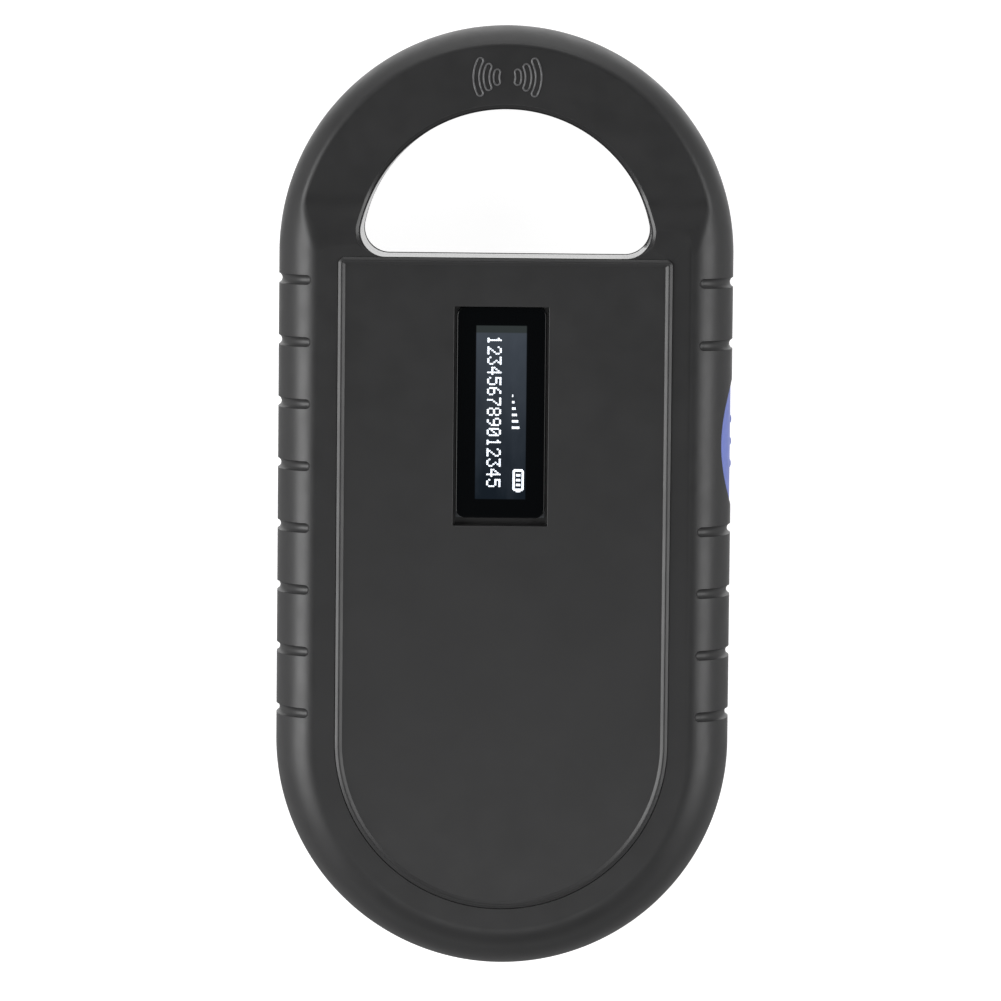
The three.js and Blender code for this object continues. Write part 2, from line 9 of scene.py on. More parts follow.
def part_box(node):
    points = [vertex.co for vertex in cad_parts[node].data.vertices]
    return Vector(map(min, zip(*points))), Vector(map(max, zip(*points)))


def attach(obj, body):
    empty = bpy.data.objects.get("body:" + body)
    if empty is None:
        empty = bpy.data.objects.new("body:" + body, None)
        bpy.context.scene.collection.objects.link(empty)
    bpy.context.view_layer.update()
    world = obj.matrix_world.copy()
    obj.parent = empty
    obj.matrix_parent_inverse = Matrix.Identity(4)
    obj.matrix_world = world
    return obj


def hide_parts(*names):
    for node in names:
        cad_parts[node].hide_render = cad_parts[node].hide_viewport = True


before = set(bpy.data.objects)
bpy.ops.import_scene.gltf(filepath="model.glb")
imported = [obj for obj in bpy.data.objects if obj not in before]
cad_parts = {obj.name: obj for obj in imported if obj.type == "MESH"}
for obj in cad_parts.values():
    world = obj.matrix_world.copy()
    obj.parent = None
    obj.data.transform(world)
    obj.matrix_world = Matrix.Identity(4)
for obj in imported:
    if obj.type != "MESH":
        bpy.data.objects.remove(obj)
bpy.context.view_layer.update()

MM = 0.001
scene = bpy.context.scene

# ---- sizes read from the frame ---------------------------------------------------------------

front_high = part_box("front_shell")[1]
fascia_low, fascia_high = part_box("front_fascia")
glass_low, glass_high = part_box("display_glass")
button_low, button_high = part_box("scan_button")
port_low, port_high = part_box("usb_shell")
buzzer_low, buzzer_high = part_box("buzzer")
label_low, label_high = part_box("rear_label")
glass_centre = (glass_low + glass_high) / 2
glass_size = glass_high - glass_low
label_centre = (label_low + label_high) / 2
label_size = label_high - label_low

HALF_WIDTH = front_high.x
END_Y = front_high.y - HALF_WIDTH       # the loop's centre; the tail's is at -END_Y
FACE_Z = front_high.z
MID_Z = FACE_Z / 2

# ---- sizes of the case -----------------------------------------------------------------------

SHOULDER = 6 * MM                       # width of the rounded shoulder, seen from the front
SIDE_BAND = 0.6 * MM                    # upright band at the parting line
AROUND = 256                            # facets round the outline
UP = 96                                 # facets from the back face to the front face
LOOP_DROP = 1.65 * MM                   # the loop's faces lie this much inside the body's faces
RAMP_TOP_Y = 40.4 * MM
RAMP_FOOT_Y = 33.0 * MM
RAMP_POWER = 2.2
CREST = 0.5 * MM                        # the shoulder rounds into the loop's faces within this height
RAMP_EASE = 1.6 * MM                    # the ramp's top edge is eased over this much each way
WALL = 2 * MM
LID_THICK = 2.7 * MM                    # solid plastic under the front face
HOLE_WALL = 1.6 * MM                    # and between the hole and the hollow
CASE_SHIFT = -0.25 * MM                 # the shells' outline, along Y from its place in the frame
SEAM = 0.06 * MM                        # half the gap between the closed shells
SEAM_BEVEL = 0.22 * MM * 1.6            # half the width of the V along it

HOLE_R = 20.3 * MM                      # the loop's D-shaped hole
HOLE_Y = 33.03 * MM
HOLE_FLAT_Y = 33.1 * MM
HOLE_CORNER_R = 3.5 * MM
HOLE_RIM = 0.68 * MM                    # chamfer of its edge on the loop
HOLE_RIM_START = 33.4 * MM              # the chamfer starts here and has grown full a little further on
HOLE_RIM_GROWS = 1.6 * MM
RIM_PROFILE = (                         # (outwards, below the face), in parts of the chamfer
    (0, 1), (0.02, 0.93), (0.08, 0.8), (0.18, 0.62), (0.29, 0.45), (0.37, 0.38), (0.58, 0.24),
    (0.8, 0.1), (0.91, 0.04), (1, 0.015))
HOLE_LIP = 0.12 * MM                    # its chamfer where the fascia starts

FASCIA_HALF = 22.87 * MM
FASCIA_TOP_Y = 33.0 * MM
FASCIA_CORNER_R = 0.9 * MM
FASCIA_SEAT_GAP = 0.07 * MM
BEAD_WIDTH = 0.95 * MM
BEAD_HEIGHT = fascia_high.z - FACE_Z
BEAD_PROFILE = (                        # (inwards from the edge, up), in parts of its width and height
    (0, 0.04), (0.03, 0.14), (0.1, 0.3), (0.2, 0.5), (0.3, 0.7), (0.38, 0.84), (0.44, 0.92), (0.5, 0.95),
    (0.56, 0.92), (0.62, 0.84), (0.7, 0.7), (0.8, 0.5), (0.9, 0.28), (0.97, 0.12), (1.03, 0))
WINDOW = (13.0 * MM, 30.1 * MM)
WINDOW_Y = (glass_low.y + glass_high.y) / 2 - 0.55 * MM
OPENING_DEPTH = 5 * MM                  # the window and the glass's opening go this far down
GLASS_PLAY = 0.16 * MM                  # the glass's opening is this much wider and longer
POCKET_LENGTH = 4 * MM
POCKET_DEPTH = 1.8 * MM

GROOVE_PITCH = 8.52 * MM
GROOVE_TOP_Y = 29.8 * MM
GROOVE_COUNT = 8
GROOVE_R = 0.74 * MM
GROOVE_DEPTH = 0.44 * MM
GROOVE_END = 79                         # degrees up the shoulder at which a groove has run out
GROOVE_STEPS = 96                       # steps along a groove
UNDER_BUTTON = (2, 4)                   # on the button's side, grooves 2 and 3 of 0 to 7 are missing

BUTTON_Y = (button_low.y + button_high.y) / 2 - 0.3 * MM
BUTTON_HALF_Y = 8.65 * MM
BUTTON_HALF_Z = 6.45 * MM
BUTTON_GAP = 0.2 * MM
BUTTON_SINK = 0.18 * MM                 # its face lies this much under the case's side
BUTTON_EDGE = 0.45 * MM                 # the rounding of its edge
BUTTON_FLANGE = 0.4 * MM                # what keeps it in the well
BUTTON_RINGS = 36
WELL_DEPTH = 4.4 * MM
NUB_PITCH = 3.07 * MM
NUB_R = 0.66 * MM
NUB_RISE = 0.3 * MM
NUB_SINK = 0.12 * MM

DOT = 0.175 * MM                        # the display's dot pitch
VIEW_AREA = (6.9 * MM, 23.8 * MM)
SHOWN_NUMBER = "123456789012345"
DIGIT_ROWS = {                          # five dots across, seven down
    "0": (14, 17, 19, 21, 25, 17, 14), "1": (4, 12, 4, 4, 4, 4, 14), "2": (14, 17, 1, 2, 4, 8, 31),
    "3": (31, 2, 4, 2, 1, 17, 14), "4": (2, 6, 10, 18, 31, 2, 2), "5": (31, 16, 30, 1, 1, 17, 14),
    "6": (6, 8, 16, 30, 17, 17, 14), "7": (31, 1, 2, 4, 8, 8, 8), "8": (14, 17, 17, 14, 17, 17, 14),
    "9": (14, 17, 17, 15, 1, 2, 12)}
DIGIT_SIZE = (1.1 * MM, 1.96 * MM)
DIGITS_AT = (1.55 * MM, 3.55 * MM)      # from the lit area's loop end, and from its right side
BATTERY_AT = (19.75 * MM, 0.3 * MM)
BARS_AT = (9.5 * MM, 1.85 * MM)
DOT_SPREAD = 1.04                       # the digits' dots are this much larger than their pitch
LIT_RISE = 0.005 * MM                   # the lit dots over the glass, and their thickness
LIT_THICK = 0.01 * MM

WAVE_X = 0.0                            # the antenna mark's middle
WAVE_Y = 57.72 * MM
WAVE_WIDE = 0.8 * MM                    # a stroke's width, between the ridges along its two sides
WAVE_RIDGE = 0.13 * MM
WAVE_STROKES = (                        # how far out, bent by which radius, how tall
    (1.5 * MM, 2.1 * MM, 2.15 * MM), (2.87 * MM, 3.5 * MM, 3.65 * MM), (4.26 * MM, 4.8 * MM, 5.2 * MM))

SCREWS = [f"case_screw_{i}" for i in (1, 2, 3, 4)]
SCREW_HEAD = 1.9 * MM
WIRE_R = 0.25 * MM

FLOOR_HALF = 20.0                       # half the floor's width
FLOOR_GLOW = 0.94
FLAG_CORNERS = ((18.5, 34.5), (23.3, 34.5), (23.3, 53.3), (13, 53.3), (13, 41))  # millimetres
WORLD_ABOVE = ((0.0, 1.0), (0.04, 0.93), (0.11, 0.7), (0.24, 0.38), (0.8, 0.27), (0.95, 0.05), (1.0, 0.03))
WORLD_BELOW = ((0.0, 0.28), (0.35, 0.32), (0.5, 0.4), (0.74, 0.3), (0.88, 1.25), (1.0, 1.3))
LIGHT_AIM = (0, 0, 0.01)
LIGHTS = (                              # name, place, width, height, power
    ("left_softbox", (-0.55, 0.0, 0.27), 0.5, 0.46, 4.0),
    ("right_softbox", (0.55, 0.0, 0.27), 0.5, 0.46, 2.3),
    ("loop_softbox", (0, 0.6, 0.2), 0.5, 0.2, 0.6),
    ("tail_softbox", (0, -0.34, 0.9), 0.3, 0.3, 0.9))

# ---- camera ----------------------------------------------------------------------------------

VIEW_DISTANCE = 0.8
VIEW_WIDTH = 138.95 * MM                # what the picture spans at the case's middle height
VIEW_TILT = math.radians(4.5)           # the camera leans towards the loop's end
VIEW_TURN = math.radians(0.65)          # and stands a little to the button's side
VIEW_ROLL = math.radians(0.6)
VIEW_AIM = Vector((-0.49 * MM, -0.93 * MM, MID_Z))


def make_camera():
    data = bpy.data.cameras.new("camera")
    data.sensor_width = 36
    data.lens = data.sensor_width * VIEW_DISTANCE / VIEW_WIDTH
    data.clip_start = 0.01
    data.clip_end = 50
    camera = bpy.data.objects.new("camera", data)
    scene.collection.objects.link(camera)
    lean = Matrix.Rotation(-VIEW_TILT, 4, "X") @ Matrix.Rotation(VIEW_TURN, 4, "Y")
    roll = Matrix.Rotation(VIEW_ROLL, 4, "Z")
    back = lean @ Vector((0, 0, VIEW_DISTANCE))
    camera.matrix_world = Matrix.Translation(VIEW_AIM + back) @ lean @ roll
    scene.camera = camera


make_camera()

# ---- node trees ------------------------------------------------------------------------------


class Field:
    """A value in a node tree; arithmetic on it adds Math nodes."""

    def __init__(self, tree, socket):
        self.tree, self.socket = tree, socket

    def __add__(self, other): return self.tree.math("ADD", self, other)
    def __sub__(self, other): return self.tree.math("SUBTRACT", self, other)
    def __rsub__(self, other): return self.tree.math("SUBTRACT", other, self)
    def __mul__(self, other): return self.tree.math("MULTIPLY", self, other)
    def __truediv__(self, other): return self.tree.math("DIVIDE", self, other)
    def __pow__(self, other): return self.tree.math("POWER", self, other)


class Nodes:
    """A node tree of any kind, and the ways nodes are added to it."""

    def __init__(self, graph):
        self.graph = graph

    def link(self, value, socket):
        if isinstance(value, Field):
            value = value.socket
        if isinstance(value, bpy.types.NodeSocket):
            self.graph.links.new(value, socket)
        else:
            socket.default_value = value

    def node(self, kind, inputs=None, **settings):
        made = self.graph.nodes.new(kind)
        for key, value in settings.items():
            setattr(made, key, value)
        for key, value in (inputs or {}).items():
            self.link(value, made.inputs[key])
        return made

    def math(self, operation, *values):
        made = self.node("ShaderNodeMath", dict(enumerate(values)), operation=operation)
        return Field(self, made.outputs[0])

    def axes(self, vector):
        parts = self.node("ShaderNodeSeparateXYZ", {0: vector})
        return [Field(self, socket) for socket in parts.outputs]

    def ramp(self, value, low, high, low_at=0.0, high_at=1.0):
        """low as far as low_at, high beyond high_at, and even in between."""
        made = self.node("ShaderNodeMapRange", {
            "Value": value, "From Min": low_at, "From Max": high_at, "To Min": low, "To Max": high})
        return Field(self, made.outputs[0])

    def blend(self, share, first, second, kind="RGBA"):
        one, other, out = (6, 7, 2) if kind == "RGBA" else (2, 3, 0)
        return self.node("ShaderNodeMix", {0: share, one: first, other: second}, data_type=kind).outputs[out]


# ---- materials -------------------------------------------------------------------------------


class Finish(Nodes):
    """A node material on one Principled shader, with patterns in Object coordinates."""

    def __init__(self, name, colour, roughness, metallic=0.0, **sockets):
        self.material = bpy.data.materials.new(name)
        self.material.use_nodes = True
        super().__init__(self.material.node_tree)
        self.shader = self.graph.nodes["Principled BSDF"]
        self.feed("Base Color", (*colour, 1))
        self.feed("Roughness", roughness)
        self.feed("Metallic", metallic)
        for label, value in sockets.items():
            self.feed(label.replace("_", " "), value)
        self.place = self.node("ShaderNodeTexCoord").outputs["Object"]
        self.height = None
        self.colour, self.roughness = colour, roughness

    def feed(self, label, value):
        self.link(value, self.shader.inputs[label])
        return self

    def paint(self, value): return self.feed("Base Color", value)
    def dull(self, value): return self.feed("Roughness", value)

    def glow(self, colour, strength):
        return self.feed("Emission Color", colour).feed("Emission Strength", strength)

    def noise(self, size_mm, detail=3.0, rough=0.55, stretch=None):
        place = self.place
        if stretch:
            place = self.node("ShaderNodeMapping", {"Vector": place, "Scale": stretch}).outputs[0]
        made = self.node("ShaderNodeTexNoise", {
            "Vector": place, "Scale": 1 / (size_mm * MM), "Detail": detail, "Roughness": rough})
        return made.outputs[0]

    def vector_math(self, operation, *values):
        made = self.node("ShaderNodeVectorMath", dict(enumerate(values)), operation=operation)
        return made.outputs["Value" if operation in ("LENGTH", "DOT_PRODUCT") else "Vector"]

    def tint(self, value, dark, light):
        return self.blend(value, (*dark, 1), (*light, 1))

    def bump(self, value, depth_mm, strength=1.0):
        made = self.node("ShaderNodeBump", {
            "Height": value, "Distance": depth_mm * MM, "Strength": strength})
        if self.height is not None:
            self.link(self.height, made.inputs["Normal"])
        self.height = made.outputs[0]
        return self.feed("Normal", self.height)

    def grain(self, size_mm, depth_mm, strength):
        return self.bump(self.noise(size_mm, detail=2.0), depth_mm, strength)

    def mottle(self, size_mm, spread, rough_spread, low=0.35, high=0.65):
        """Slight cloudiness of colour and gloss, as moulded and handled surfaces have."""
        soft = self.ramp(self.noise(size_mm), 0.0, 1.0, low, high)
        dark = [c * (1 - spread) for c in self.colour]
        light = [min(c * (1 + spread), 1) for c in self.colour]
        self.paint(self.tint(soft, dark, light))
        fine = self.noise(size_mm * 0.37, detail=5.0)
        glossy, matt = self.roughness - rough_spread, self.roughness + rough_spread
        return self.dull(self.ramp(fine, glossy, matt, low, high))


def moulded_case():
    finish = Finish("moulded_case", (0.0195, 0.0195, 0.02), 0.42, Specular_IOR_Level=0.45)
    finish.mottle(9, 0.07, 0.035).grain(0.16, 0.006, 0.5)
    polished_hole(finish)
    return finish.material


def polished_hole(finish):
    """The hole's wall and its edge on the loop are handled smooth; the wall's foot stays rough."""
    x, y, z = finish.axes(finish.place)
    from_middle = finish.vector_math("SUBTRACT", finish.place, (0, HOLE_Y, 0))
    flat = finish.vector_math("MULTIPLY", from_middle, (1, 1, 0))
    away = finish.vector_math("LENGTH", flat)
    past = finish.ramp(y, 0.0, 1.0, HOLE_FLAT_Y - 0.2 * MM, HOLE_FLAT_Y - 0.05 * MM)
    normal = finish.node("ShaderNodeNewGeometry").outputs["Normal"]
    upright = finish.ramp(finish.math("ABSOLUTE", finish.axes(normal)[2]), 1.0, 0.0, 0.5, 0.7)
    wall = finish.ramp(away, 1.0, 0.0, HOLE_R + 0.1 * MM, HOLE_R + 0.6 * MM) * past * upright
    facing = finish.vector_math("DOT_PRODUCT", normal, finish.vector_math("NORMALIZE", flat))
    rim_end = HOLE_R + HOLE_RIM
    rim_near = finish.ramp(away, 1.0, 0.0, rim_end, rim_end + 0.2 * MM)
    rim = finish.ramp(facing, 1.0, 0.0, -0.4, -0.28) * rim_near * past
    inside = finish.math("MAXIMUM", wall, rim) * finish.ramp(z, 0.0, 1.0, 3.6 * MM, 4.2 * MM)
    foot = wall * finish.ramp(z, 1.0, 0.0, 3.4 * MM, 3.9 * MM)
    cloudy = dulled = finish.shader.inputs["Roughness"].links[0].from_socket
    for mask, low, high in ((inside, 0.19, 0.27), (foot, 0.8, 0.9)):
        dulled = finish.blend(mask, dulled, finish.ramp(cloudy, low, high, 0.3, 0.6), "FLOAT")
    finish.dull(dulled)


def satin_fascia():
    finish = Finish("satin_fascia", (0.0225, 0.0225, 0.023), 0.38, Specular_IOR_Level=0.45)
    return finish.mottle(11, 0.06, 0.03).grain(0.14, 0.005, 0.45).material


def blue_button():
    finish = Finish("blue_button", (0.128, 0.165, 0.46), 0.4)
    return finish.mottle(3.5, 0.06, 0.05).grain(0.15, 0.005, 0.4).material


# ---- geometry nodes --------------------------------------------------------------------------


class Tree(Nodes):
    """A Geometry Nodes group with named inputs; grow() runs it and keeps the plain mesh."""

    def __init__(self, name, **inputs):
        super().__init__(bpy.data.node_groups.new(name, "GeometryNodeTree"))
        face = self.graph.interface
        face.new_socket("Geometry", in_out="INPUT", socket_type="NodeSocketGeometry")
        self.keys = {}
        kinds = {int: "NodeSocketInt", float: "NodeSocketFloat"}
        for label, value in inputs.items():
            socket = face.new_socket(label, in_out="INPUT", socket_type=kinds[type(value)])
            socket.default_value = value
            self.keys[label] = socket.identifier
        finish = face.new_socket("finish", in_out="INPUT", socket_type="NodeSocketMaterial")
        self.keys["finish"] = finish.identifier
        face.new_socket("Geometry", in_out="OUTPUT", socket_type="NodeSocketGeometry")
        self.inputs = self.graph.nodes.new("NodeGroupInput")
        self.given = self.inputs.outputs["Geometry"]

    def __getitem__(self, label):
        return Field(self, self.inputs.outputs[label])

    def sine(self, value): return self.math("SINE", value)
    def cosine(self, value): return self.math("COSINE", value)

    def vector(self, x=0.0, y=0.0, z=0.0):
        return self.node("ShaderNodeCombineXYZ", {"X": x, "Y": y, "Z": z}).outputs[0]

    def position(self):
        return self.axes(self.node("GeometryNodeInputPosition").outputs[0])

    def index(self):
        return Field(self, self.node("GeometryNodeInputIndex").outputs[0])

    def circle(self, around, radius):
        return self.node("GeometryNodeCurvePrimitiveCircle", {
            "Resolution": around, "Radius": radius}).outputs[0]

    def drum(self, around, radius, depth, caps="NGON", **more):
        sizes = {"Vertices": around, "Radius": radius, "Depth": depth}
        sizes.update({label.replace("_", " "): value for label, value in more.items()})
        return self.node("GeometryNodeMeshCylinder", sizes, fill_type=caps).outputs["Mesh"]

    def placed(self, geometry, position):
        return self.node("GeometryNodeSetPosition", {"Geometry": geometry, "Position": position}).outputs[0]

    def moved(self, geometry, place):
        return self.node("GeometryNodeTransform", {"Geometry": geometry, "Translation": place}).outputs[0]

    def joined(self, *parts):
        made = self.node("GeometryNodeJoinGeometry")
        for part in parts:
            self.link(part, made.inputs[0])
        return made.outputs[0]

    def sweep(self, path, profile, scale=1.0, caps=True):
        made = self.node("GeometryNodeCurveToMesh", {
            "Curve": path, "Profile Curve": profile, "Scale": scale, "Fill Caps": caps})
        return made.outputs[0]

    def copies(self, points, geometry):
        return self.node("GeometryNodeInstanceOnPoints", {"Points": points, "Instance": geometry}).outputs[0]

    def row(self, count, start, step):
        return self.node("GeometryNodeMeshLine", {
            "Count": count, "Start Location": start, "Offset": step}).outputs[0]

    def centred_row(self, axis):
        """The tree's count of points along an axis, its pitch apart, about the middle."""
        first = (self["count"] - 1) * (self["pitch"] * -0.5)
        return self.row(self["count"], self.vector(**{axis: first}), self.vector(**{axis: self["pitch"]}))

    def end(self, geometry):
        real = self.node("GeometryNodeRealizeInstances", {"Geometry": geometry}).outputs[0]
        last = self.node("GeometryNodeSetMaterial", {"Geometry": real, "Material": self["finish"]}).outputs[0]
        self.link(last, self.graph.nodes.new("NodeGroupOutput").inputs["Geometry"])
        return self

    def grow(self, name, finish=None, points=(), **values):
        mesh = bpy.data.meshes.new(name)
        mesh.from_pydata(list(points), [], [])
        host = new_object(name, mesh)
        modifier = host.modifiers.new("grow", "NODES")
        modifier.node_group = self.graph
        for label, value in values.items():
            modifier[self.keys[label]] = value
        modifier[self.keys["finish"]] = finish
        settle(host)
        return host


def new_object(name, mesh):
    made = bpy.data.objects.new(name, mesh)
    scene.collection.objects.link(made)
    return made


def settle(piece):
    """Turns what the modifiers show into the piece's plain mesh."""
    graph = bpy.context.evaluated_depsgraph_get()
    mesh = bpy.data.meshes.new_from_object(piece.evaluated_get(graph), depsgraph=graph)
    mesh.name = piece.name
    piece.modifiers.clear()
    piece.data = mesh


# ---- mesh helpers ----------------------------------------------------------------------------


def built(name, points, faces):
    mesh = bpy.data.meshes.new(name)
    mesh.from_pydata(points, [], faces)
    mesh.update()
    made = new_object(name, mesh)
    outwards(made)
    return made


def strips(count, pairs):
    """The faces between pairs of rings, with so many points in each ring."""
    return [(one * count + i, one * count + (i + 1) % count,
             other * count + (i + 1) % count, other * count + i)
            for one, other in pairs for i in range(count)]


def skin(name, rings):
    """A closed skin over rings of points, each ring with the same number of points."""
    count, last = len(rings[0]), len(rings) - 1
    faces = strips(count, [(row, row + 1) for row in range(last)])
    faces.append(tuple(reversed(range(count))))
    faces.append(tuple(range(last * count, (last + 1) * count)))
    return built(name, [point for ring in rings for point in ring], faces)


def looped(name, sections):
    """A closed ring: each section is one turn of points, and the last section joins the first."""
    turns = len(sections)
    faces = strips(len(sections[0]), [(row, (row + 1) % turns) for row in range(turns)])
    return built(name, [point for section in sections for point in section], faces)


def outwards(piece):
    work = bmesh.new()
    work.from_mesh(piece.data)
    bmesh.ops.remove_doubles(work, verts=work.verts, dist=1e-8)
    bmesh.ops.recalc_face_normals(work, faces=work.faces)
    work.to_mesh(piece.data)
    work.free()


def cut(piece, *cutters, operation="DIFFERENCE"):
    for cutter in cutters:
        modifier = piece.modifiers.new("cut", "BOOLEAN")
        modifier.operation = operation
        modifier.solver = "MANIFOLD"
        modifier.object = cutter
    settle(piece)
    for cutter in cutters:
        bpy.data.objects.remove(cutter)
    return piece


def weld(name, *pieces):
    """Puts the pieces' meshes together in the first one, under a new name."""
    work = bmesh.new()
    for piece in pieces:
        work.from_mesh(piece.data)
    work.to_mesh(pieces[0].data)
    work.free()
    for piece in pieces[1:]:
        bpy.data.objects.remove(piece)
    pieces[0].name = pieces[0].data.name = name
    return pieces[0]


def smooth(piece, degrees=28):
    """Smooth shading with crisp edges where the surface turns by more than the angle."""
    work = bmesh.new()
    work.from_mesh(piece.data)
    limit = math.radians(degrees)
    for face in work.faces:
        face.smooth = True
    for edge in work.edges:
        edge.smooth = len(edge.link_faces) == 2 and edge.calc_face_angle(0) < limit
    work.to_mesh(piece.data)
    work.free()
    modifier = piece.modifiers.new("normals", "WEIGHTED_NORMAL")
    modifier.weight = 100
    modifier.keep_sharp = True
    settle(piece)
    return piece


def dress(piece, finish, body="casing", nodes=()):
    piece.data.materials.clear()
    piece.data.materials.append(finish)
    for face in piece.data.polygons:
        face.material_index = 0
    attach(piece, body)
    if nodes:
        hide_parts(*nodes)
    return piece


def arc(x, y, radius, start, stop, steps):
    """Points and outward directions along an arc, angles in radians."""
    turns = [start + (stop - start) * i / steps for i in range(steps + 1)]
    return [(x + radius * math.cos(t), y + radius * math.sin(t), math.cos(t), math.sin(t)) for t in turns]


def oval(x, y, half_x, half_y, steps):
    turns = [2 * math.pi * i / steps for i in range(steps)]
    return [(x + half_x * math.cos(t), y + half_y * math.sin(t)) for t in turns]


def d_outline(steps=96):
    """The hole's outline: (x, y, outward x, outward y), anticlockwise."""
    radius, corner = HOLE_R, HOLE_CORNER_R
    corner_y = HOLE_FLAT_Y + corner
    corner_x = math.sqrt((radius - corner) ** 2 - (corner_y - HOLE_Y) ** 2)
    meet = math.atan2(corner_y - HOLE_Y, corner_x)
    right = arc(corner_x, corner_y, corner, -math.pi / 2, meet, 20)
    top = arc(0, HOLE_Y, radius, meet, math.pi - meet, steps)
    left = arc(-corner_x, corner_y, corner, math.pi - meet, 1.5 * math.pi, 20)
    return right + top[1:] + left[1:]


def fascia_outline(half, top_y, corner):
    low = arc(0, -END_Y, half, math.pi, 2 * math.pi, 96)
    right = arc(half - corner, top_y - corner, corner, 0, math.pi / 2, 12)
    left = arc(corner - half, top_y - corner, corner, math.pi / 2, math.pi, 12)
    return low + right + left


def box_outline(width, length, corner, x, y, steps=8):
    right, top = x + width / 2 - corner, y + length / 2 - corner
    left, low = x - width / 2 + corner, y - length / 2 + corner
    quarter = math.pi / 2
    return (arc(right, low, corner, -quarter, 0, steps) + arc(right, top, corner, 0, quarter, steps)
            + arc(left, top, corner, quarter, 2 * quarter, steps)
            + arc(left, low, corner, 2 * quarter, 3 * quarter, steps))


def lofted(name, outline, levels, lengthwise=False):
    """A solid over an outline: each level is (how far the outline grows, height or place along Y)."""
    rings = []
    for grow, level in levels:
        spots = [(x + grow * nx, y + grow * ny) for x, y, nx, ny in outline]
        rings.append([(a, level, b) if lengthwise else (a, b, level) for a, b in spots])
    return skin(name, rings)


def slab(name, low, high):
    """Everything between two heights."""
    ring = [(-0.1, -0.1), (0.1, -0.1), (0.1, 0.1), (-0.1, 0.1)]
    return skin(name, [[(x, y, z) for x, y in ring] for z in (low, high)])


# ---- the case --------------------------------------------------------------------------------


def case_blank_tree():
    """The case's whole body: a stadium outline with an elliptical shoulder all round."""
    tree = Tree("case_blank", around=AROUND, up=UP, half_width=0.03, end_y=0.03, mid_z=0.01,
                shoulder=0.006, side_band=0.0005, shrink=0.0)
    drum = tree.drum(tree["around"], 1.0, 2.0, Side_Segments=tree["up"])
    x, y, z = tree.position()
    half_step = tree.math("DIVIDE", math.pi, tree["around"])
    turn = tree.math("ARCTAN2", y, x) + half_step
    climb = z * (math.pi / 2)
    bulge = (tree["shoulder"] - tree["shrink"]) * tree.cosine(climb)
    reach = tree["half_width"] - tree["shoulder"] + bulge
    high = tree["mid_z"] - tree["side_band"] / 2 - tree["shrink"]
    level = tree["mid_z"] + high * tree.sine(climb) + tree.math("SIGN", z) * (tree["side_band"] / 2)
    across = tree.sine(turn)
    along = reach * across + tree.math("SIGN", across) * tree["end_y"]
    return tree.end(tree.placed(drum, tree.vector(reach * tree.cosine(turn), along, level)))


def groove_tree():
    """Round bars that lie along the shoulder's section and run out at both ends, one per groove."""
    tree = Tree("grip_grooves", count=GROOVE_COUNT, first=0, side=1.0, top_y=0.03, pitch=0.008,
                bar_r=0.0008, depth=0.0003, half_width=0.03, mid_z=0.01, shoulder=0.006, end_turn=1.3)
    line = tree.node("GeometryNodeCurvePrimitiveLine", {"Start": (0, 0, 0), "End": (0, 0, 1)}).outputs[0]
    path = tree.node("GeometryNodeResampleCurve", {"Curve": line, "Count": GROOVE_STEPS + 1}).outputs[0]
    along = tree.sine((tree.index() / float(GROOVE_STEPS) - 0.5) * math.pi)
    turn = along * tree["end_turn"]
    from_end = (1.0 - tree.math("ABSOLUTE", along)) * tree["end_turn"] * tree["shoulder"] / tree["bar_r"]
    nearing = tree.math("MINIMUM", from_end + 0.0005, 1.0)
    rounded = (nearing * (2.0 - nearing)) ** 0.5
    lift = tree["bar_r"] - tree["depth"]
    reach = tree["half_width"] - tree["shoulder"] + (tree["shoulder"] + lift) * tree.cosine(turn)
    z = tree["mid_z"] + (tree["mid_z"] + lift) * tree.sine(turn)
    bent = tree.placed(path, tree.vector(tree["side"] * reach, 0.0, z))
    start = tree.vector(y=tree["top_y"] - tree["first"] * tree["pitch"])
    points = tree.row(tree["count"], start, tree.vector(y=0.0 - tree["pitch"]))
    return tree.end(tree.copies(points, tree.sweep(bent, tree.circle(40, tree["bar_r"]), rounded)))


def drop(y):
    """How far the faces lie inside the body's faces at this place along the length."""
    def edged(at):
        t = min(max((RAMP_TOP_Y - at) / (RAMP_TOP_Y - RAMP_FOOT_Y), 0), 1)
        return LOOP_DROP * (1 - t) ** RAMP_POWER

    spots = 9
    spread = [edged(y + RAMP_EASE * (2 * i / (spots - 1) - 1)) for i in range(spots)]
    weights = [1 - abs(2 * i / (spots - 1) - 1) + 0.1 for i in range(spots)]
    return sum(a * b for a, b in zip(spread, weights)) / sum(weights)


def loop_cut(side, inset=0.0):
    """What is taken off over the loop, in front (1) or behind (-1)."""
    away = MID_Z + side * 3 * MID_Z
    steps = 56
    start, stop = RAMP_FOOT_Y - RAMP_EASE, RAMP_TOP_Y + RAMP_EASE
    ys = [start + (stop - start) * i / steps for i in range(steps + 1)] + [4 * END_Y]
    profile = [(ys[0], away)] + [(y, MID_Z + side * (MID_Z - drop(y) - inset)) for y in ys] + [(ys[-1], away)]
    rings = [[(x, y, z) for y, z in profile] for x in (-2 * HALF_WIDTH, 2 * HALF_WIDTH)]
    return skin("loop_cut", rings)


def round_crest(piece):
    """Rounds the shoulder over where it meets the loop's faces, so that the cut meets it level."""
    for point in piece.data.vertices:
        away = point.co.z - MID_Z
        high = abs(away)
        sunk = drop(point.co.y)
        reach = min(CREST, sunk)
        if reach < 0.01 * MM or high < MID_Z - LOOP_DROP - CREST:
            continue
        limit = MID_Z - sunk
        near = max(reach - abs(high - limit), 0) / reach
        low = min(high, limit) - near * near * reach / 4 + max(high - limit - reach, 0)
        point.co.z = MID_Z + math.copysign(low, away)


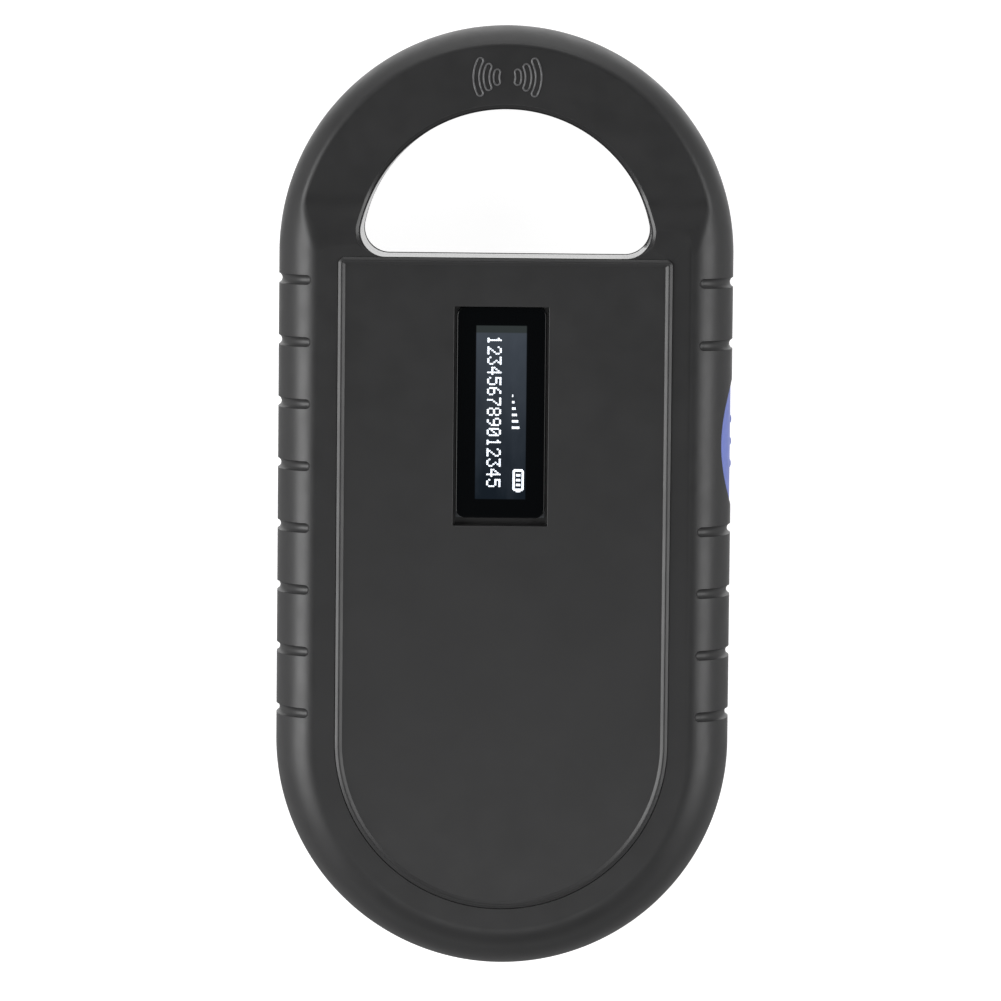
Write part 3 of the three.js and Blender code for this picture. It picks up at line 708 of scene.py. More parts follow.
def hole_cut():
    """The D-shaped hole, flared at both ends by the rim's profile."""
    outline = d_outline()

    def level(side, out, below, beyond=0.0):
        ring = []
        for x, y, nx, ny in outline:
            blend = min(max((y - HOLE_RIM_START) / HOLE_RIM_GROWS, 0), 1)
            size = HOLE_LIP + (HOLE_RIM - HOLE_LIP) * blend
            top = MID_Z - drop(y) - below * size + beyond
            ring.append((x + out * size * nx, y + out * size * ny, MID_Z + side * top))
        return ring

    edge_out, edge_below = RIM_PROFILE[-1]
    rings = [level(-1, edge_out, edge_below, 3 * MM)]
    rings += [level(-1, out, below) for out, below in reversed(RIM_PROFILE)]
    rings += [level(1, out, below) for out, below in RIM_PROFILE]
    rings.append(level(1, edge_out, edge_below, 3 * MM))
    return skin("hole_cut", rings)


def outline_points(radius):
    right = arc(0, END_Y + CASE_SHIFT, radius, 0, math.pi, AROUND // 2)
    left = arc(0, -END_Y + CASE_SHIFT, radius, math.pi, 2 * math.pi, AROUND // 2)
    return right + left


def seam_cut():
    """A small V round the outside at the parting plane."""
    corners = ((1.0, -1.0), (-0.18, 0.0), (1.0, 1.0))
    sections = [[(x + out * SEAM_BEVEL * nx, y + out * SEAM_BEVEL * ny, MID_Z + up * SEAM_BEVEL)
                 for out, up in corners] for x, y, nx, ny in outline_points(HALF_WIDTH)]
    return looped("seam_cut", sections)


def button_well():
    """The oval opening in the side that the button sits in."""
    ring = oval(BUTTON_Y, MID_Z, BUTTON_HALF_Y + BUTTON_GAP, BUTTON_HALF_Z + BUTTON_GAP, 96)
    ends = (HALF_WIDTH - WELL_DEPTH, HALF_WIDTH + 2 * MM)
    return skin("button_well", [[(x, y, z) for y, z in ring] for x in ends])


def port_mouth():
    """The opening for the charging plug, with a small flare."""
    width, high = port_high.x - port_low.x + 0.5 * MM, port_high.z - port_low.z + 0.5 * MM
    outline = box_outline(width, high, high / 2 - 0.02 * MM, 0, MID_Z)
    tail = -END_Y - HALF_WIDTH
    flare = 0.25 * MM
    levels = [(0, tail + 5 * MM), (0, tail + 0.3 * MM), (flare, tail - 0.05 * MM), (flare, tail - MM)]
    return lofted("port_mouth", outline, levels, lengthwise=True)


def half_space(side):
    """All of one side of the parting plane."""
    return slab("half_space", MID_Z + side * SEAM, MID_Z + side * 4 * MID_Z)


def casing():
    """The case in one piece, hollow, with its grooves and openings."""
    sizes = dict(half_width=HALF_WIDTH, end_y=END_Y, mid_z=MID_Z, shoulder=SHOULDER, side_band=SIDE_BAND)
    blank = case_blank_tree()
    whole = blank.grow("casing", **sizes)
    hollow = blank.grow("hollow", around=64, up=16, shrink=WALL, **sizes)
    for body in (whole, hollow):
        body.data.transform(Matrix.Translation((0, CASE_SHIFT, 0)))
    round_crest(whole)
    hole_wall = lofted("hole_wall", d_outline(48), [(HOLE_WALL, -MM), (HOLE_WALL, FACE_Z + MM)])
    lid = slab("lid", FACE_Z - LID_THICK, FACE_Z + 10 * MM)
    cut(hollow, loop_cut(1, WALL), loop_cut(-1, WALL), hole_wall, lid)
    tree = groove_tree()
    grooves = []
    runs = ((-1.0, 0, GROOVE_COUNT), (1.0, 0, UNDER_BUTTON[0]), (1.0, UNDER_BUTTON[1], GROOVE_COUNT))
    for side, first, after in runs:
        bars = tree.grow("grooves", side=side, first=first, count=after - first, top_y=GROOVE_TOP_Y,
                         pitch=GROOVE_PITCH, bar_r=GROOVE_R, depth=GROOVE_DEPTH, half_width=HALF_WIDTH,
                         mid_z=MID_Z, shoulder=SHOULDER, end_turn=math.radians(GROOVE_END))
        outwards(bars)
        grooves.append(bars)
    return cut(whole, loop_cut(1), loop_cut(-1), hole_cut(), hollow, seam_cut(), *grooves,
               button_well(), port_mouth())


def fascia_seat():
    outline = fascia_outline(FASCIA_HALF + FASCIA_SEAT_GAP, FASCIA_TOP_Y + 0.02 * MM, FASCIA_CORNER_R)
    flare = 0.04 * MM
    return lofted("fascia_seat", outline, [
        (0, fascia_low.z - 0.3 * MM), (0, FACE_Z - 0.06 * MM),
        (flare, FACE_Z - 0.01 * MM), (flare, FACE_Z + MM)])


def glass_opening():
    """The opening the display's glass stands in."""
    outline = box_outline(glass_size.x + GLASS_PLAY, glass_size.y + GLASS_PLAY, 1.15 * MM,
                          glass_centre.x, glass_centre.y)
    return lofted("glass_opening", outline, [(0, FACE_Z - OPENING_DEPTH), (0, FACE_Z + MM)])


def display_pocket():
    """The shallow pocket between the glass and the lower edge of the fascia's window."""
    low = WINDOW_Y - WINDOW[1] / 2 + 0.1 * MM
    high = low + POCKET_LENGTH
    outline = box_outline(WINDOW[0] - 0.5 * MM, high - low, 0.2 * MM, glass_centre.x, (low + high) / 2)
    return lofted("display_pocket", outline, [(0, FACE_Z - POCKET_DEPTH), (0, FACE_Z + MM)])


def front_shell(whole, finish):
    shell = new_object("front_shell_body", whole.data.copy())
    cut(shell, half_space(-1), fascia_seat(), glass_opening(), display_pocket())
    return dress(smooth(shell), finish, nodes=("front_shell",))


def drum_cut(x, y, radius, low, high):
    ring = oval(x, y, radius, radius, 32)
    return skin("drum_cut", [[(*spot, z) for spot in ring] for z in (low, high)])


def sound_hole_tree():
    """A ring of small round holes round a middle one."""
    tree = Tree("sound_holes", count=6, ring_r=0.0024, hole_r=0.0006, deep=0.004, x=0.0, y=0.0)
    drum = tree.drum(20, tree["hole_r"], tree["deep"])
    ring = tree.node("GeometryNodeMeshCircle", {
        "Vertices": tree["count"], "Radius": tree["ring_r"]}).outputs[0]
    holes = tree.joined(tree.copies(ring, drum), drum)
    return tree.end(tree.moved(holes, tree.vector(tree["x"], tree["y"], 0.0)))


def back_shell(whole, finish):
    shell = new_object("back_shell_body", whole.data.copy())
    outline = box_outline(label_size.x + 0.3 * MM, label_size.y + 0.3 * MM, 1.9 * MM,
                          label_centre.x, label_centre.y)
    recess = lofted("label_recess", outline, [
        (0.25 * MM, -MM), (0.25 * MM, -0.01 * MM), (0, 0.15 * MM), (0, 0.6 * MM)])
    buzzer_centre = (buzzer_low + buzzer_high) / 2
    holes = sound_hole_tree().grow("sound_holes", x=buzzer_centre.x, y=buzzer_centre.y)
    outwards(holes)
    wells = []
    for name in SCREWS:
        low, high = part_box(name)
        x, y = (low.x + high.x) / 2, (low.y + high.y) / 2
        wells.append(drum_cut(x, y, (high.x - low.x) / 2 + 0.25 * MM, -MM, low.z + 2 * MM))
    cut(shell, half_space(1), recess, holes, *wells)
    return dress(smooth(shell), finish, nodes=("back_shell",))


def front_fascia(finish):
    """The raised panel with a rounded bead along its edge."""
    outline = fascia_outline(FASCIA_HALF, FASCIA_TOP_Y, FASCIA_CORNER_R)
    levels = [(0, fascia_low.z - 0.25 * MM)]
    levels += [(-across * BEAD_WIDTH, FACE_Z + rise * BEAD_HEIGHT) for across, rise in BEAD_PROFILE]
    panel = lofted("front_fascia_panel", outline, levels)
    opening = box_outline(WINDOW[0], WINDOW[1], 0.15 * MM, glass_centre.x, WINDOW_Y, 3)
    flare = 0.05 * MM
    cut(panel, lofted("window", opening, [
        (0, FACE_Z - OPENING_DEPTH), (0, FACE_Z - 0.07 * MM),
        (flare, FACE_Z - 0.02 * MM), (flare, FACE_Z + MM)]))
    return dress(smooth(panel), finish, nodes=("front_fascia",))


# ---- button ----------------------------------------------------------------------------------


def shoulder_x(z, sink=0.0):
    """Where the case's side lies at this height, or a surface sunk below it."""
    rise = max(abs(z - MID_Z) - SIDE_BAND / 2, 0) / (MID_Z - SIDE_BAND / 2 - sink)
    return HALF_WIDTH - SHOULDER + (SHOULDER - sink) * math.sqrt(max(1 - rise * rise, 0))


def nub_tree():
    """Domed grip nubs in a row along the button."""
    tree = Tree("button_nubs", count=3, pitch=0.003, radius=0.0008, rise=0.0004)
    ball = tree.node("GeometryNodeMeshUVSphere", {"Segments": 32, "Rings": 20, "Radius": 1.0}).outputs["Mesh"]
    x, y, z = tree.position()
    dome = tree.placed(ball, tree.vector(x * tree["rise"], y * tree["radius"], z * tree["radius"]))
    return tree.end(tree.copies(tree.centred_row("y"), dome))


def scan_button(finish):
    """The button's face follows the case's side, a little below it, with a rounded edge."""
    flat_y, flat_z = BUTTON_HALF_Y - BUTTON_EDGE, BUTTON_HALF_Z - BUTTON_EDGE

    def ring(half_y, half_z, inwards=0.0, x=None):
        spots = oval(BUTTON_Y, MID_Z, half_y, half_z, 128)
        return [(shoulder_x(z, BUTTON_SINK) - inwards if x is None else x, y, z) for y, z in spots]

    shares = [0.01 + 0.99 * i / BUTTON_RINGS for i in range(BUTTON_RINGS + 1)]
    rings = [ring(share * flat_y, share * flat_z) for share in shares]
    for i in range(1, 9):
        bend = math.pi / 2 * i / 8
        shrink = BUTTON_EDGE * (1 - math.sin(bend))
        rings.append(ring(BUTTON_HALF_Y - shrink, BUTTON_HALF_Z - shrink, BUTTON_EDGE * (1 - math.cos(bend))))
    stem = button_low.x + 1.0 * MM
    for grow, x in ((0, stem), (BUTTON_FLANGE, stem), (BUTTON_FLANGE, button_low.x)):
        rings.append(ring(BUTTON_HALF_Y + grow, BUTTON_HALF_Z + grow, x=x))
    button = skin("scan_button_cap", rings)
    nubs = nub_tree().grow("nubs", pitch=NUB_PITCH, radius=NUB_R, rise=NUB_RISE)
    face_x = HALF_WIDTH - BUTTON_SINK
    nubs.data.transform(Matrix.Translation((face_x - NUB_SINK, BUTTON_Y, MID_Z)))
    outwards(nubs)
    cut(button, nubs, operation="UNION")
    return dress(smooth(button, 40), finish, body="button", nodes=("scan_button",))


# ---- display ---------------------------------------------------------------------------------


def lit_dot_tree():
    """A thin rounded lozenge at each given point, as the display's lit dots."""
    tree = Tree("lit_dots", wide=0.0001, long=0.0001, thick=0.00001)
    disc = tree.node("GeometryNodeMeshCircle", {"Vertices": 8, "Radius": 0.5}, fill_type="NGON").outputs[0]
    x, y, z = tree.position()
    square = tree.placed(disc, tree.vector(x * tree["wide"] * 1.1, y * tree["long"] * 1.1, 0.0))
    dot = tree.node("GeometryNodeExtrudeMesh", {"Mesh": square, "Offset Scale": tree["thick"]})
    return tree.end(tree.copies(tree.given, dot.outputs["Mesh"]))


def lit_marks(finish):
    """The number, a battery sign and a row of signal bars, turned to read from the button's side."""

    def spot(along, down):
        """along runs down the display from its loop end, down runs across it from the right."""
        return (glass_centre.x + VIEW_AREA[0] / 2 - down, glass_centre.y + VIEW_AREA[1] / 2 - along,
                glass_high.z + LIT_RISE)

    wide, high = DIGIT_SIZE[0] / 5, DIGIT_SIZE[1] / 7
    digits = []
    for place, digit in enumerate(SHOWN_NUMBER):
        for row, bits in enumerate(DIGIT_ROWS[digit]):
            for column in range(5):
                if bits >> (4 - column) & 1:
                    along = DIGITS_AT[0] + place * 8 * DOT + column * wide
                    digits.append(spot(along, DIGITS_AT[1] + row * high))
    signs = []
    for i in range(19):
        for j in range(10):
            edge = i in (0, 1, 16, 17) or j in (0, 1, 8, 9)
            corner = i in (0, 17) and j in (0, 9)
            tip = i == 18 and 3 <= j <= 6
            bar = i in (4, 5, 8, 9, 12, 13) and 3 <= j <= 6
            if (i < 18 and edge and not corner) or tip or bar:
                signs.append(spot(BATTERY_AT[0] + i * DOT * 0.95, BATTERY_AT[1] + j * DOT * 0.88))
    for bar in range(6):
        for j in range(bar + 1):
            signs += [spot(BARS_AT[0] + (bar * 5 + i) * DOT, BARS_AT[1] - j * DOT) for i in range(2)]
    tree = lit_dot_tree()
    number = tree.grow("lit_number", points=digits, wide=high * DOT_SPREAD, long=wide * DOT_SPREAD,
                       thick=LIT_THICK)
    others = tree.grow("lit_signs", points=signs, wide=DOT, long=DOT, thick=LIT_THICK)
    return dress(weld("lit_marks", number, others), finish)


def display_glass(finish):
    outline = box_outline(glass_size.x, glass_size.y, 1.35 * MM, glass_centre.x, glass_centre.y, 12)
    top = glass_high.z
    levels = [(-0.15 * MM, glass_low.z), (0, glass_low.z + 0.1 * MM), (0, top - 0.12 * MM),
              (-0.04 * MM, top - 0.035 * MM), (-0.12 * MM, top)]
    glass = lofted("display_cover_glass", outline, levels)
    return dress(smooth(glass, 20), finish, nodes=("display_glass",))


def dark_glass():
    """Black glass, with the faint grey field of the lit area fading towards the tail."""
    finish = Finish("display_glass", (0.0022, 0.0026, 0.003), 0.07, Specular_IOR_Level=0.2)
    half_wide, half_long = VIEW_AREA[0] / 2, VIEW_AREA[1] / 2
    x, y, z = finish.axes(finish.place)
    across, along = x - glass_centre.x, y - glass_centre.y

    def within(value, half):
        return finish.ramp(finish.math("ABSOLUTE", value), 1.0, 0.0, half - 0.06 * MM, half + 0.06 * MM)

    top = finish.math("GREATER_THAN", z, glass_high.z - 0.02 * MM)
    area = within(across, half_wide) * within(along, half_long) * top
    smear = finish.noise(2.2, detail=4.0, stretch=(1.0, 0.35, 1.0))
    fade = finish.ramp(along, 0.0, 1.0, -half_long, half_long) + finish.ramp(smear, -0.12, 0.12, 0.3, 0.7)
    grey = finish.node("ShaderNodeValToRGB", {0: fade})
    stops = grey.color_ramp.elements
    stops[0].color, stops[1].color = (0.0065, 0.0105, 0.016, 1), (0.05, 0.06, 0.075, 1)
    strip = finish.ramp(along, 0.0, 1.0, half_long - 1.05 * MM, half_long - 0.9 * MM)
    finish.glow(finish.blend(strip, grey.outputs[0], (0.03, 0.036, 0.036, 1)), area)
    finish.dull(finish.ramp(finish.noise(6, detail=4.0), 0.05, 0.1, 0.35, 0.65))
    scratches = finish.noise(0.5, detail=2.0, stretch=(1.0, 0.02, 1.0))
    return finish.bump(scratches, 0.0006, 0.4).material


def lit_white():
    finish = Finish("lit_dots", (0.75, 0.8, 0.85), 0.5)
    return finish.glow((0.84, 0.9, 1, 1), finish.ramp(finish.noise(0.7), 0.7, 0.88, 0.3, 0.6)).material


# ---- antenna mark ----------------------------------------------------------------------------


def wave_outline(side, away, radius, tall):
    """One bent stroke's closed outline: away from the mark's middle, bent by a radius, and so tall."""
    half = math.asin((tall - WAVE_WIDE) / 2 / radius)
    x, steps, end = away - radius, 22, WAVE_WIDE / 2
    end_x, end_y = x + radius * math.cos(half), radius * math.sin(half)
    spots = arc(x, 0, radius + end, -half, half, steps)
    spots += arc(end_x, end_y, end, half, half + math.pi, 12)[1:]
    spots += arc(x, 0, radius - end, half, -half, steps)[1:]
    spots += arc(end_x, -end_y, end, math.pi - half, 2 * math.pi - half, 12)[1:-1]
    return [(WAVE_X + side * spot[0], WAVE_Y + spot[1], FACE_Z - LOOP_DROP - 0.01 * MM) for spot in spots]


def wave_mark(finish):
    """Three bent strokes on each side, each outlined by a thin raised ridge."""
    outlines = [wave_outline(side, *stroke) for side in (1, -1) for stroke in WAVE_STROKES]
    mark = winding_tree().grow("wave_mark", points=sum(outlines, []), per_turn=len(outlines[0]),
                               radius=WAVE_RIDGE)
    outwards(mark)
    return dress(smooth(mark, 60), finish)


def rubbed_ridge():
    """The case's plastic, painted lighter where it stands up, as a painted highlight on the ridges."""
    finish = Finish("rubbed_ridge", (0.105, 0.105, 0.108), 0.34)
    return finish.mottle(0.9, 0.3, 0.06).grain(0.1, 0.004, 0.5).material


# ---- socket, screws, windings and pins -------------------------------------------------------


def usb_shell(finish):
    """A drawn steel tube with a rolled front lip."""
    half_x, half_z = port_high.x, (port_high.z - port_low.z) / 2
    outline = box_outline(2 * half_x, 2 * half_z, half_z - 0.03 * MM, 0, MID_Z, 12)
    wall, front, rear = 0.28 * MM, port_low.y, port_high.y
    levels = [(0, rear), (0, front + wall / 2)]
    for i in range(1, 8):
        turn = math.pi * i / 8
        levels.append((-wall / 2 * (1 - math.cos(turn)), front + wall / 2 * (1 - math.sin(turn))))
    levels += [(-wall, front + wall / 2), (-wall, rear - 0.4 * MM)]
    shell = lofted("usb_socket_shell", outline, levels, lengthwise=True)
    return dress(smooth(shell, 40), finish, nodes=("usb_shell",))


def contact_tree():
    """A row of flat contact strips."""
    tree = Tree("contact_row", count=12, pitch=0.0005, wide=0.0003, long=0.003, thick=0.00006)
    size = tree.vector(tree["wide"], tree["long"], tree["thick"])
    strip = tree.node("GeometryNodeMeshCube", {"Size": size}).outputs["Mesh"]
    return tree.end(tree.copies(tree.centred_row("x"), strip))


def usb_contacts(finish):
    tree = contact_tree()
    rows = []
    for side in (1, -1):
        row = tree.grow("contact_row", pitch=0.5 * MM, wide=0.28 * MM, long=3.2 * MM, thick=0.07 * MM)
        row.data.transform(Matrix.Translation((0, port_high.y - 4.6 * MM, MID_Z + side * 0.37 * MM)))
        rows.append(row)
    return dress(weld("usb_contacts", *rows), finish)


def screw_tree():
    """Screws standing on their heads: a domed head with a cross recess, a shank and a thread."""
    tree = Tree("case_screws", head_r=0.0019, head_high=0.0019, shank_r=0.001, length=0.014, pitch=0.0008)
    drum = tree.drum(40, 1.0, 1.0, caps="TRIANGLE_FAN", Side_Segments=6, Fill_Segments=5)
    x, y, z = tree.position()
    reach = (x * x + y * y) ** 0.5
    crown = tree.math("LESS_THAN", z, 0.0) * (1.0 - reach ** 4.0) * -0.12
    head = tree.placed(drum, tree.vector(
        x * tree["head_r"], y * tree["head_r"], (z + 0.5 + crown) * tree["head_high"]))
    for wide, long in ((0.3, 1.25), (1.25, 0.3)):
        size = tree.vector(tree["head_r"] * wide, tree["head_r"] * long, tree["head_high"] * 1.1)
        slot = tree.node("GeometryNodeMeshCube", {"Size": size}).outputs["Mesh"]
        bite = tree.node("GeometryNodeMeshBoolean", {0: head, 1: slot},
                         operation="DIFFERENCE", solver="FLOAT")
        head = bite.outputs[0]
    shank = tree.drum(24, tree["shank_r"] * 0.82, tree["length"])
    shank = tree.moved(shank, tree.vector(0.0, 0.0, tree["length"] / 2.0))
    threaded = tree["length"] - tree["head_high"] - tree["pitch"]
    spiral = tree.node("GeometryNodeCurveSpiral", {
        "Resolution": 14, "Rotations": threaded / tree["pitch"], "Start Radius": tree["shank_r"] * 0.84,
        "End Radius": tree["shank_r"] * 0.84, "Height": threaded}).outputs[0]
    spiral = tree.moved(spiral, tree.vector(0.0, 0.0, tree["head_high"] + tree["pitch"] / 2.0))
    thread = tree.sweep(spiral, tree.circle(4, tree["pitch"] * 0.3))
    return tree.end(tree.copies(tree.given, tree.joined(head, shank, thread)))


def case_screws(finish):
    spots = []
    for name in SCREWS:
        low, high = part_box(name)
        spots.append(((low.x + high.x) / 2, (low.y + high.y) / 2, low.z))
    screws = screw_tree().grow("case_screws", points=spots, head_r=(high.x - low.x) / 2 - 0.02 * MM,
                               head_high=SCREW_HEAD, shank_r=1.0 * MM, length=high.z - low.z, pitch=0.8 * MM)
    return dress(smooth(screws, 35), finish, nodes=SCREWS)


def winding_tree():
    """Closed turns of wire through the given points, the same number of points to each turn."""
    tree = Tree("coil_windings", per_turn=89, radius=0.00025)
    cloud = tree.node("GeometryNodeMeshToPoints", {"Mesh": tree.given}).outputs[0]
    group = tree.math("FLOOR", (tree.index() + 0.5) / tree["per_turn"])
    turns = tree.node("GeometryNodePointsToCurves", {"Points": cloud, "Curve Group ID": group}).outputs[0]
    closed = tree.node("GeometryNodeSetSplineCyclic", {"Geometry": turns, "Cyclic": True}).outputs[0]
    return tree.end(tree.sweep(closed, tree.circle(7, tree["radius"]), caps=False))


def antenna_coil(finish):
    """Turns of wire in a box-shaped bundle round the hole; only the bundle's outside is made."""
    low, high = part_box("antenna_coil")
    outline = d_outline(48)
    columns, rows = 6, 10
    points = []
    for column in range(columns):
        for row in range(rows):
            if column in (0, columns - 1) or row in (0, rows - 1):
                grow = 2.2 * MM + WIRE_R + (3.2 * MM - 2 * WIRE_R) * column / (columns - 1)
                z = low.z + WIRE_R + (high.z - low.z - 2 * WIRE_R) * row / (rows - 1)
                points += [(x + grow * nx, y + grow * ny, z) for x, y, nx, ny in outline]
    coil = winding_tree().grow("antenna_coil_windings", points=points, per_turn=len(outline),
                               radius=WIRE_R * 1.03)
    return dress(smooth(coil, 60), finish, nodes=("antenna_coil",))


def pin_tree():
    """A row of bent chip legs, from the body's side down to the board."""
    tree = Tree("chip_pins", count=8, pitch=0.0008, wide=0.0003, reach=0.0009, drop=0.0005, thick=0.00015)
    bar = tree.node("GeometryNodeMeshCube", {
        "Size": (1.0, 1.0, 1.0), "Vertices X": 9, "Vertices Y": 2, "Vertices Z": 2}).outputs["Mesh"]
    x, y, z = tree.position()
    along = x + 0.5
    bend = tree.math("SMOOTH_MIN", tree.math("SMOOTH_MAX", (along - 0.3) * 3.3, 0.0, 0.15), 1.0, 0.15)
    leg = tree.placed(bar, tree.vector(
        along * tree["reach"], y * tree["wide"], z * tree["thick"] - bend * tree["drop"]))
    return tree.end(tree.copies(tree.centred_row("y"), leg))


def chip_legs(finish):
    tree = pin_tree()
    rows = []
    for name, count, pitch, sides in (
            ("microcontroller", 8, 0.8 * MM, 4), ("reader_chip", 7, 1.2 * MM, 2),
            ("memory_chip", 4, 1.1 * MM, 2)):
        low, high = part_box(name)
        centre = (low + high) / 2
        for side in range(sides):
            turn = Matrix.Rotation(side * 2 * math.pi / sides, 4, "Z")
            row = tree.grow("leg_row", count=count, pitch=pitch, reach=0.85 * MM)
            row.data.transform(Matrix.Translation(((high.x - low.x) / 2 - 0.05 * MM, 0, low.z + 0.5 * MM)))
            row.data.transform(Matrix.Translation((centre.x, centre.y, 0)) @ turn)
            rows.append(row)
    legs = weld("chip_legs", *rows)
    outwards(legs)
    return dress(legs, finish)


# ---- finishes of the inner parts and the back ------------------------------------------------


def plain(name, colour, rough, size_mm=3.0, spread=0.12, metallic=0.0, grain=0.12):
    finish = Finish(name, colour, rough, metallic)
    return finish.mottle(size_mm, spread, 0.06).grain(grain, 0.006, 0.5).material


def brushed(name, colour, rough, stretch=(1.0, 0.06, 1.0)):
    finish = Finish(name, colour, rough, 1.0).mottle(1.5, 0.08, 0.08)
    return finish.bump(finish.noise(0.12, detail=3.0, stretch=stretch), 0.004, 0.6).material


def circuit_board():
    finish = Finish("circuit_board", (0.012, 0.075, 0.03), 0.32)
    tracks = finish.node("ShaderNodeTexBrick", {
        "Vector": finish.place, "Scale": 1 / (6 * MM), "Mortar Size": 0.03, "Brick Width": 0.9,
        "Row Height": 0.22, "Color1": (0.012, 0.07, 0.028, 1), "Color2": (0.014, 0.085, 0.034, 1),
        "Mortar": (0.025, 0.15, 0.06, 1)})
    finish.paint(tracks.outputs["Color"])
    finish.dull(finish.ramp(finish.noise(4), 0.26, 0.38, 0.35, 0.65))
    return finish.bump(tracks.outputs["Fac"], 0.02, 0.6).material


def foam_pores(name, colour):
    finish = Finish(name, colour, 0.9).mottle(2, 0.2, 0.05)
    pores = finish.node("ShaderNodeTexVoronoi", {"Vector": finish.place, "Scale": 1 / (0.5 * MM)})
    return finish.bump(pores.outputs["Distance"], 0.12, 0.8).material


def pouch_foil():
    finish = Finish("pouch_foil", (0.62, 0.63, 0.65), 0.34, 0.85).mottle(5, 0.08, 0.08)
    finish.bump(finish.noise(4.5, detail=4.0, stretch=(1.0, 0.5, 1.0)), 0.25, 0.5)
    return finish.grain(0.2, 0.006, 0.4).material


def rating_label():
    """Brushed silver film with a dark printed border, and nothing written on it."""
    finish = Finish("rating_label", (0.5, 0.51, 0.53), 0.36, 0.55)
    half = label_size / 2
    x, y, z = finish.axes(finish.place)
    edges = [finish.ramp(finish.math("ABSOLUTE", value), 0.0, 1.0, far - 1.7 * MM, far - 1.6 * MM)
             for value, far in ((x - label_centre.x, half.x), (y - label_centre.y, half.y))]
    finish.paint(finish.tint(finish.math("MAXIMUM", *edges), finish.colour, (0.06, 0.062, 0.066)))
    finish.dull(finish.ramp(finish.noise(3), 0.3, 0.42, 0.35, 0.65))
    return finish.bump(finish.noise(0.15, detail=3.0, stretch=(0.05, 1.0, 1.0)), 0.004, 0.5).material


def inner_finishes():
    steel = brushed("switch_steel", (0.55, 0.56, 0.57), 0.32)
    chip = plain("chip_epoxy", (0.018, 0.018, 0.019), 0.55, size_mm=0.8, spread=0.2)
    tin = brushed("tinned_lands", (0.62, 0.62, 0.6), 0.3)
    ceramic = plain("ceramic", (0.3, 0.2, 0.11), 0.5, size_mm=0.6)
    connector = plain("connector_nylon", (0.62, 0.6, 0.53), 0.42)
    foam = foam_pores("foam", (0.02, 0.02, 0.022))
    board_screw = brushed("screw_zinc", (0.58, 0.57, 0.55), 0.3, stretch=(0.3, 0.3, 1.0))
    copper = plain("enamelled_copper", (0.55, 0.19, 0.07), 0.26, size_mm=1.2, metallic=0.9, grain=0.3)
    return {
        "rear_label": rating_label(),
        "display_substrate": plain("display_backing", (0.09, 0.1, 0.11), 0.3),
        "display_foam": foam,
        "display_flex": plain("flex_film", (0.42, 0.16, 0.03), 0.3, size_mm=1.0),
        "flex_socket": connector,
        "main_pcb": circuit_board(),
        "microcontroller": chip, "reader_chip": chip, "charge_chip": chip, "memory_chip": chip,
        "crystal": tin, "tuning_capacitor_1": ceramic, "tuning_capacitor_2": ceramic,
        "power_inductor": plain("ferrite", (0.035, 0.034, 0.033), 0.6, size_mm=0.7),
        "status_led": plain("led_lens", (0.75, 0.76, 0.7), 0.2, size_mm=0.6),
        "buzzer": plain("buzzer_case", (0.014, 0.014, 0.015), 0.4),
        "antenna_lead_1": copper, "antenna_lead_2": copper,
        "switch_base": plain("switch_base", (0.02, 0.02, 0.022), 0.5),
        "switch_cover": steel,
        "switch_plunger": plain("switch_plunger", (0.5, 0.5, 0.48), 0.45),
        "battery_cell": pouch_foil(),
        "battery_tape": foam_pores("foam_tape", (0.55, 0.55, 0.52)),
        "battery_socket": connector, "battery_plug": connector,
        "battery_lead_red": plain("wire_red", (0.45, 0.015, 0.012), 0.4, size_mm=2),
        "battery_lead_black": plain("wire_black", (0.015, 0.015, 0.016), 0.4, size_mm=2),
        "usb_tongue": plain("socket_tongue", (0.02, 0.02, 0.022), 0.45),
        **{f"coil_pad_{i}": foam for i in (1, 2, 3, 4, 5)},
        **{f"pcb_screw_{i}": board_screw for i in (1, 2, 3)},
    }, tin, copper, board_screw


CASE = moulded_case()
whole_case = casing()
front_shell(whole_case, CASE)
back_shell(whole_case, CASE)
bpy.data.objects.remove(whole_case)
front_fascia(satin_fascia())
scan_button(blue_button())
display_glass(dark_glass())
lit_marks(lit_white())
# the wave mark's ridges get a lighter colour as a painted highlight
wave_mark(rubbed_ridge())
finishes, TIN, COPPER, ZINC = inner_finishes()
for node_name, finish in finishes.items():
    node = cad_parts[node_name]
    node.data.materials.clear()
    node.data.materials.append(finish)
usb_shell(TIN)
usb_contacts(plain("gold_contacts", (0.75, 0.5, 0.2), 0.28, metallic=1.0))
case_screws(ZINC)
antenna_coil(COPPER)
chip_legs(TIN)

# ---- stage -----------------------------------------------------------------------------------


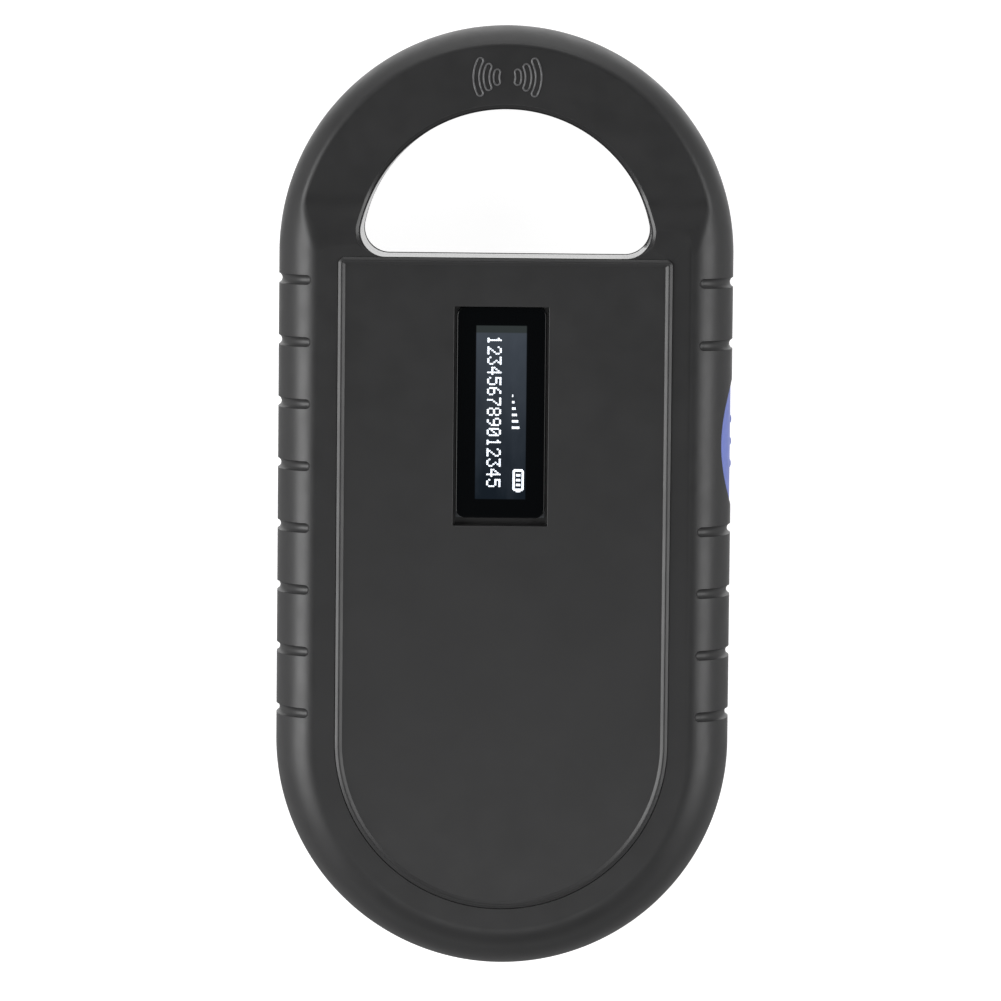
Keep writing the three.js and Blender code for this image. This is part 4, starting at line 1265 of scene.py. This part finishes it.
def floor_finish():
    """The floor glows evenly, with a painted contact shadow: its glow is less where the case rests on it and
    shades it.
    """
    finish = Finish("floor", (0.4, 0.4, 0.4), 0.7)
    x, y, z = finish.axes(finish.place)
    past_end = finish.math("MAXIMUM", finish.math("ABSOLUTE", y) - END_Y, 0.0)
    away = finish.math("SQRT", x ** 2.0 + past_end ** 2.0) - HALF_WIDTH
    # painted contact shadow: the glow fades inside the case's outline, except under the raised loop
    clear = finish.ramp(away, 0.0, 1.0, -0.9 * SHOULDER, -0.4 * MM)
    loop = finish.ramp(y, 0.0, 1.0, RAMP_FOOT_Y - 3 * MM, RAMP_FOOT_Y)
    share = finish.ramp(finish.math("MAXIMUM", clear, loop), 0.05 * FLOOR_GLOW, FLOOR_GLOW)
    return finish.glow((1, 1, 1, 1), share).material


def card(name, corners, level, finish):
    mesh = bpy.data.meshes.new(name)
    mesh.from_pydata([(x, y, 0) for x, y in corners], [], [tuple(range(len(corners)))])
    mesh.materials.append(finish)
    made = new_object(name, mesh)
    made.location.z = level
    return made


def make_floor():
    far = FLOOR_HALF
    corners = ((-far, -far), (far, -far), (far, far), (-far, far))
    floor = card("floor", corners, -0.02 * MM, floor_finish())
    floor.visible_glossy = False


def make_flag():
    """A dark card under the floor, so that the hole's wall on the button's side reflects black."""
    corners = [(x * MM, y * MM) for x, y in FLAG_CORNERS]
    flag = card("flag", corners, -0.6 * MM, plain("flag", (0.02, 0.02, 0.02), 0.9))


def make_light(name, place, width, height, power):
    data = bpy.data.lights.new(name, "AREA")
    data.shape = "RECTANGLE"
    data.size, data.size_y = width, height
    data.energy = power
    light = bpy.data.objects.new(name, data)
    scene.collection.objects.link(light)
    light.location = place
    light.rotation_euler = (Vector(LIGHT_AIM) - Vector(place)).to_track_quat("-Z", "Y").to_euler()


def make_world():
    """A soft room: dim straight overhead, brighter lower down, and brighter below beyond the loop's end."""
    world = bpy.data.worlds.new("studio")
    world.use_nodes = True
    room = Nodes(world.node_tree)
    x, y, z = room.axes(room.node("ShaderNodeTexCoord").outputs["Generated"])

    def shades(value, stops):
        made = room.node("ShaderNodeValToRGB", {0: value})
        elements = made.color_ramp.elements
        while len(elements) < len(stops):
            elements.new(0.5)
        for element, (position, level) in zip(elements, stops):
            element.position = position
            element.color = (level, level, level, 1)
        return made.outputs[0]

    steep = y + room.ramp(z, 0.0, 1.0, -0.65, -1.0)
    below = shades(room.ramp(steep, 0.0, 1.0, -1.0, 1.2), WORLD_BELOW)
    sky = room.blend(room.ramp(z, 0.0, 1.0, -0.04, -0.005), below, shades(z, WORLD_ABOVE))
    room.link(sky, room.graph.nodes["Background"].inputs["Color"])
    scene.world = world


make_floor()
make_flag()
make_world()
for light in LIGHTS:
    make_light(*light)
scene.view_settings.view_transform = "Standard"
